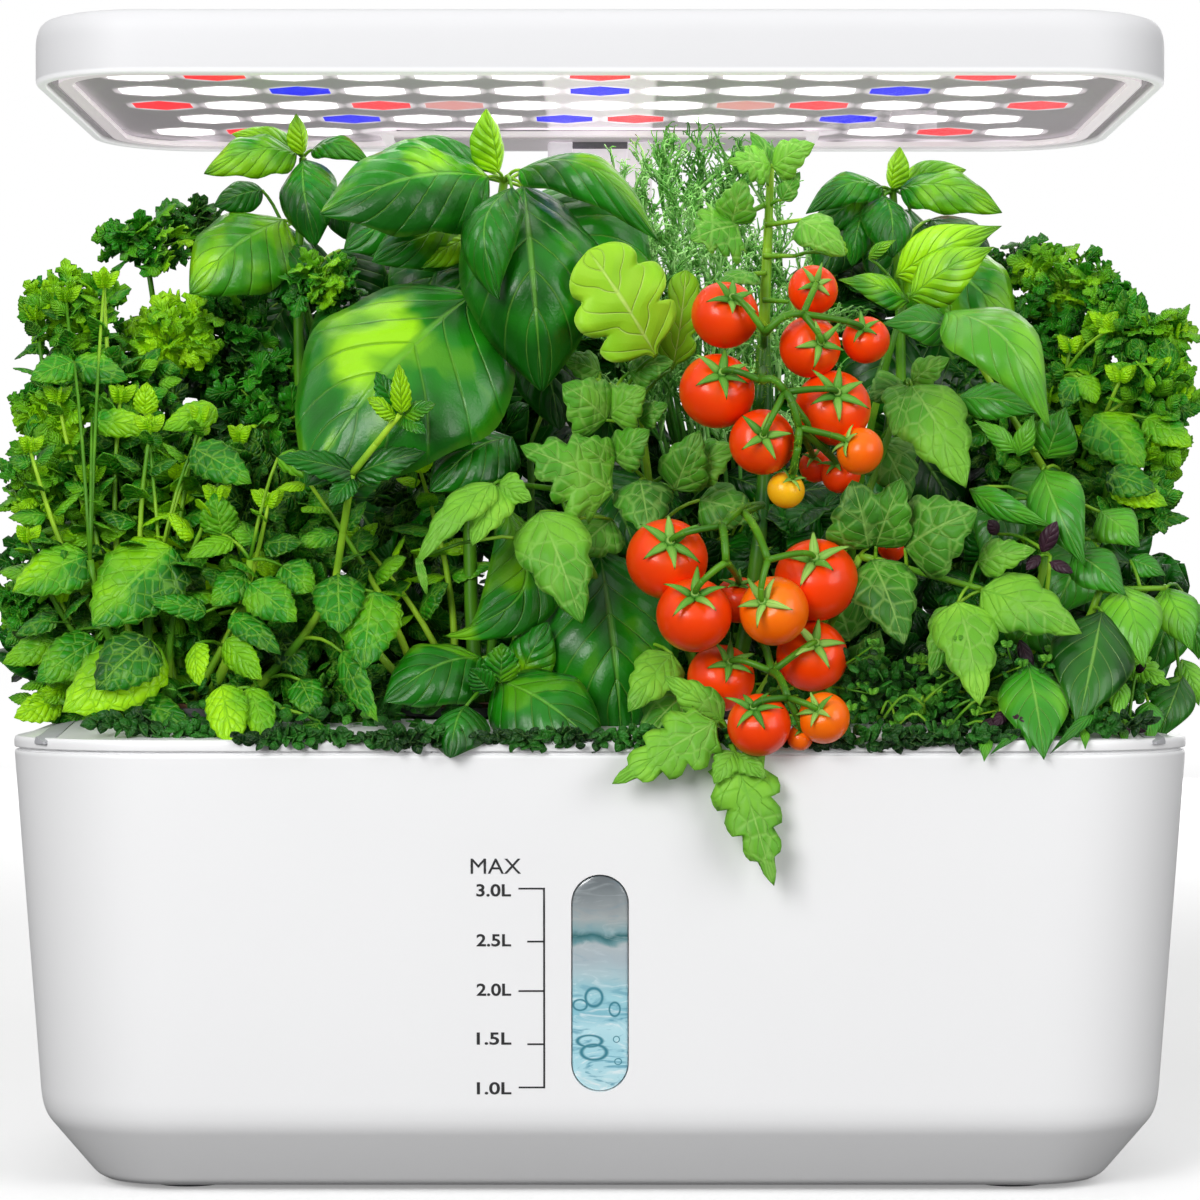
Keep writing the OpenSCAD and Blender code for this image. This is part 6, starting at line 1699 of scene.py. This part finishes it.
# %% Fruit
FRUIT = rows("""
725 315 34 -80 732 298 0 ripe; 813 290 25 -76 815 285 1 ripe; 810 347 31 -82 820 344 1 ripe
866 340 24 -78 861 328 1 ripe; 717 391 38 -80 722 373 2 ripe; 833 408 38 -80 835 393 3 ripe
762 442 33 -86 762 436 3 ripe; 860 451 24 -86 843 440 4 orange; 786 490 19 -84 792 477 4 yellow
841 474 20 -74 834 462 4 ripe; 816 466 17 -70 812 456 4 ripe; 667 559 41 -78 670 540 5 ripe
694 615 38 -86 694 592 6 ripe; 774 611 35 -86 760 600 7 orange; 816 580 42 -76 812 556 7 ripe
721 678 34 -74 730 660 8 ripe; 812 656 36 -74 814 641 8 ripe; 759 725 32 -97 752 705 9 ripe
824 718 26 -96 815 708 9 orange; 800 738 13 -94 801 729 9 orange; 738 600 24 -64 738 582 6 ripe
892 548 14 -60 890 540 3 ripe
""")
TRUSS = rows("""
765 333 -89; 803 314 -88; 761 381 -90; 785 392 -91; 799 428 -92; 722 526 -89; 726 562 -95; 768 560 -93
772 672 -84; 788 698 -98
""")
JOINTS = rows("""
764 345 -50; 765 333 -89; 764 372 -50; 761 381 -90; 785 392 -91; 762 505 -56; 722 526 -89; 744 513 -76
760 640 -60; 772 672 -84
""")

truss = new_growth()
for here, back in zip(TRUSS, JOINTS):
    path = bow(seen(*back), seen(*here), (0, -1.5, 1.5))
    twig(truss, path, 1.0, 0.9, 0.35, 7)
    hairy(path, 26, 1.6)
for a, b in (((799, 428, -92), (798, 446, -92)), ((798, 446, -92), (792, 472, -88)),
             ((762, 505, -56), (744, 513, -76))):
    path = bow(seen(*a), seen(*b), (0, -1, 0), 5)
    twig(truss, path, 0.9, 0.8, 0.35, 7)
    hairy(path, 20, 1.6)
main_path = bow(seen(764, 330, -48), seen(758, 410, -50))
twig(truss, main_path, 1.5, 1.5, 0.1, 7)
hairy(main_path, 160, 2.4)

calyx = new_growth()
skins = {"ripe": [], "orange": [], "yellow": []}
rng = random.Random(5)
for x, y, r, depth, star_x, star_y, joint, skin in FRUIT:
    radius = r * frame_step(depth)
    middle = seen(x, y, depth)
    right, up = (star_x - x) / r, (y - star_y) / r
    axis = Vector((right, -math.sqrt(max(0.1, 1 - right * right - up * up)), up)).normalized()
    bpy.ops.object.select_all(action="DESELECT")
    bpy.ops.mesh.primitive_uv_sphere_add(segments=40, ring_count=24, radius=1.0)
    fruit = bpy.context.object
    fruit.name = f"fruit_{x}"
    level = []
    for v in fruit.data.vertices:
        n = v.co.copy()
        flat = math.hypot(n.x, n.y)
        top = max(n.z, 0) ** 12
        # orange towards the stalk from ripening, and darker red away from it as painted shade
        level.append(0.25 + 0.35 * max(n.z, 0) ** 1.5 + rng.uniform(-0.01, 0.01))
        lobe = 1 + 0.012 * math.cos(5 * math.atan2(n.y, n.x)) * flat * max(n.z, 0)
        v.co = Vector((n.x * lobe, n.y * lobe, n.z * 0.94 - 0.13 * top)) * radius * MM
    tone = fruit.data.attributes.new("tone", "FLOAT", "POINT")
    tone.data.foreach_set("value", level)
    turn = Vector((0, 0, 1)).rotation_difference(axis).to_matrix().to_4x4()
    fruit.data.transform(Matrix.Translation(middle * MM) @ turn)
    skins[skin].append(fruit)
    hub = middle + axis * radius * 0.86
    one = axis.cross(Vector((0.3, 1, 0.2))).normalized()
    other = axis.cross(one)
    count = 5 + (x % 2)
    for k in range(count):
        a = 2 * math.pi * (k + rng.uniform(-0.12, 0.12)) / count
        out = one * math.cos(a) + other * math.sin(a)
        lift = rng.uniform(-0.2, 0.45)
        reach = radius * rng.uniform(0.70, 0.96)
        base = hub + out * radius * 0.06
        tip = hub + out * reach + axis * reach * lift
        leaf(calyx, "sepal", base, tip, radius * 0.24, face=axis, arch=0.14, cup=0.5,
             tone=rng.uniform(0.3, 0.75), half=2)
    twig(calyx, [hub - axis * 0.3, hub + axis * radius * 0.10], radius * 0.13, radius * 0.10, 0.3, 8)
    knee = hub + axis * radius * 0.5
    joint_at = seen(*TRUSS[joint])
    path = []
    for k in range(9):
        t = k / 8
        path.append(hub * (1 - t) ** 2 + knee * 2 * t * (1 - t) + joint_at * t * t)
    twig(truss, path, 0.68, 0.85, 0.35, 7)
    hairy(path, 10, 1.2)
for skin, material in (("ripe", ripe_skin), ("orange", orange_skin), ("yellow", yellow_skin)):
    bunch = join(skins[skin])
    bunch.name = f"{skin}_tomatoes"
    dress(bunch, material, "deck", ["tomatoes"] if skin == "ripe" else (), 180)
grow_piece("tomato_calyx", calyx, calyx_green, 0.25)
grow_piece("tomato_truss", truss, green_stem, 0)
grow_piece("tomato_hairs", hairs, green_stem, 0)
grow_piece("tomato_stems", stems, green_stem, 0)
print("tomatoes:", len(FRUIT))

# %% [markdown]
# ## Pepper, thyme and purple shoots
# At the right a young pepper hangs its smooth pointed leaves over the deck. Under it lie thyme, a dark
# tangle of wiry stems and tiny leaves, and a few purple shoots.

# %% Pepper plant
leaves, stems = new_growth(), new_growth()
anchors = stem_points(stems, rows("""
978 742 -48 1045 470 -50 1.6 1 6 .45; 1045 470 -50 947 312 -56 .9 .6 0 .6
980 742 -48 1100 590 -66 1.4 .9 5 .5; 1100 590 -66 1165 588 -62 .9 .6 0 .5
982 742 -46 1030 664 -72 1 .7 3 .5; 982 742 -44 1180 678 -58 1.2 .7 4 .5
"""))
blades(leaves, stems, anchors, rows("""
pepper 953 328 882 324 38 -60 -66 .42 0; 947 312 1050 430 72 -62 -78 .74 -10 arch=.3
958 398 1044 413 34 -54 -60 .34 0; 1018 456 1034 414 18 -60 -62 .55 0; 1046 458 1066 407 42 -58 -62 .5 0
1016 452 974 420 18 -60 -62 .55 0; 970 490 1054 527 24 -64 -72 .6 30 arch=.2
1043 470 1086 568 50 -60 -74 .52 20 arch=.2; 1100 512 1140 548 40 -56 -62 .62 0
1074 552 1126 596 42 -66 -72 .42 0; 1122 586 1144 668 54 -66 -76 .74 0; 1164 588 1192 652 42 -56 -62 .72 0
1130 560 1166 576 22 -60 -62 .4 0; 1102 612 1077 728 72 -72 -88 .06 0 arch=.08
1028 664 1044 760 60 -78 -94 .56 0 arch=.08; 1118 678 1118 724 20 -74 -82 .88 0
1148 702 1150 746 24 -66 -76 .56 0; 1182 676 1156 743 38 -56 -62 .24 0
tomato 1128 662 1170 686 28 -62 -68 .7 0; pepper 1182 660 1199 706 24 -48 -50 .72 0
986 736 984 762 12 -90 -95 .6 0; 1024 728 990 755 8 -88 -94 .35 0; 1028 728 1030 752 10 -86 -93 .6 0
1096 712 1050 754 10 -84 -93 .3 0; 1084 730 1085 750 8 -86 -92 .6 0; 1123 728 1124 748 8 -78 -84 .6 0
1060 470 1010 540 60 -40 -44 .3 0; 1090 540 1050 620 66 -46 -54 .36 0; 1140 600 1110 650 46 -50 -56 .4 0
1020 600 1060 660 56 -58 -66 .4 0; 1060 620 1010 680 50 -56 -62 .25 0; 1170 610 1150 680 46 -44 -48 .35 0
1010 500 980 560 46 -50 -56 .3 0; 1186 600 1199 660 36 -40 -42 .6 0
"""))
grow_piece("pepper_leaves", leaves, pepper_leaf, 0.32, ["pepper_plant"])
grow_piece("pepper_stems", stems, green_stem, 0)

# %% Thyme and purple shoots
leaves, stems = new_growth(), new_growth()
rng = random.Random(23)
for k in range(46):
    x = rng.uniform(838, 1150)
    y = rng.uniform(636, 728)
    depth = rng.uniform(-84, -58)
    pod, reach = (3, (-8, 8)) if x > 900 else (2, (-4, 10))
    foot = pod_top(pod, rng.uniform(*reach), rng.uniform(-8, 4))
    sprig(leaves, stems, "small", foot, seen(x, y, depth), 7, 4.4, 3.0, (0.1, 0.75), 600 + k, start=0.25,
          lean=(rng.uniform(-6, 6), -4, rng.uniform(-2, 4)), thick=0.45, droop=0.1)
for k in range(18):
    x, y = rng.uniform(860, 1120), rng.uniform(700, 742)
    here = seen(x, y, rng.uniform(-84, -70))
    there = here + Vector((rng.uniform(-16, 16), rng.uniform(-4, 4), rng.uniform(-4, 6)))
    twig(stems, bow(here, there, (0, -2, 4)), 0.35, 0.3, 0.5, 5)
for k, (pod, dx, x, y, depth, wide, high, thick, count, length, width, tones) in enumerate(rows("""
3 0 1010 700 -66 150 34 12 260 15 11 0/.6; 2 8 880 700 -66 60 40 12 140 14 10 0/.6
1 0 330 720 -64 170 24 12 160 18 12 0/.5; 0 0 160 706 -60 80 30 10 90 16 11 .1/.8
""")):
    tuft(leaves, stems, "small", pod_top(pod, dx), x, y, depth, wide, high, thick, count, length, width, tones,
         650 + k, stalks=False)
# painted shade: a row of small dark leaves along the rim
for k, (x, y, wide, count) in enumerate(rows("""
200 734 60 70; 300 738 70 90; 420 738 70 90; 560 738 80 100; 640 738 34 40; 700 738 50 60; 800 738 50 60
880 738 70 110; 960 736 60 70; 130 722 50 60; 1040 726 60 60; 1110 722 50 50
""")):
    tuft(leaves, stems, "small", None, x, y, -91.5 if 240 < x < 980 else -84, wide, 11, 2.0, count, 14, 10,
         (0.0, 0.2), 680 + k, stalks=False)
grow_piece("thyme_leaves", leaves, herb_leaf, 0.25)
grow_piece("thyme_stems", stems, green_stem, 0)

shoots, stems = new_growth(), new_growth()
anchors = stem_points(stems, rows("""
984 742 -50 1050 556 -72 .7 .5 4 .6; 984 742 -52 1000 716 -82 .6 .5 0 .6
984 742 -48 1128 730 -72 .6 .5 0 .6
"""))
blades(shoots, stems, anchors, rows("""
small 1042 552 1057 521 15 -74 -76 .5 0; 1050 562 1073 573 11 -74 -76 .4 0
1040 556 1026 570 10 -74 -76 .3 0; 998 534 988 520 12 -60 -62 .3 0; 1008 710 1032 724 14 -86 -90 .5 0
1006 712 994 726 11 -84 -88 .4 0; 992 718 986 740 15 -86 -90 .3 0; 1004 690 1012 716 10 -82 -84 .2 0
1122 724 1124 739 12 -76 -80 .4 0; 1130 726 1146 732 9 -76 -80 .5 0; 1020 640 1032 676 12 -74 -78 .1 0
1136 672 1146 664 7 -70 -72 .4 0
"""), fine=2, half=2)
grow_piece("purple_shoots", shoots, purple_leaf, 0.3)
grow_piece("purple_shoot_stems", stems, green_stem, 0)
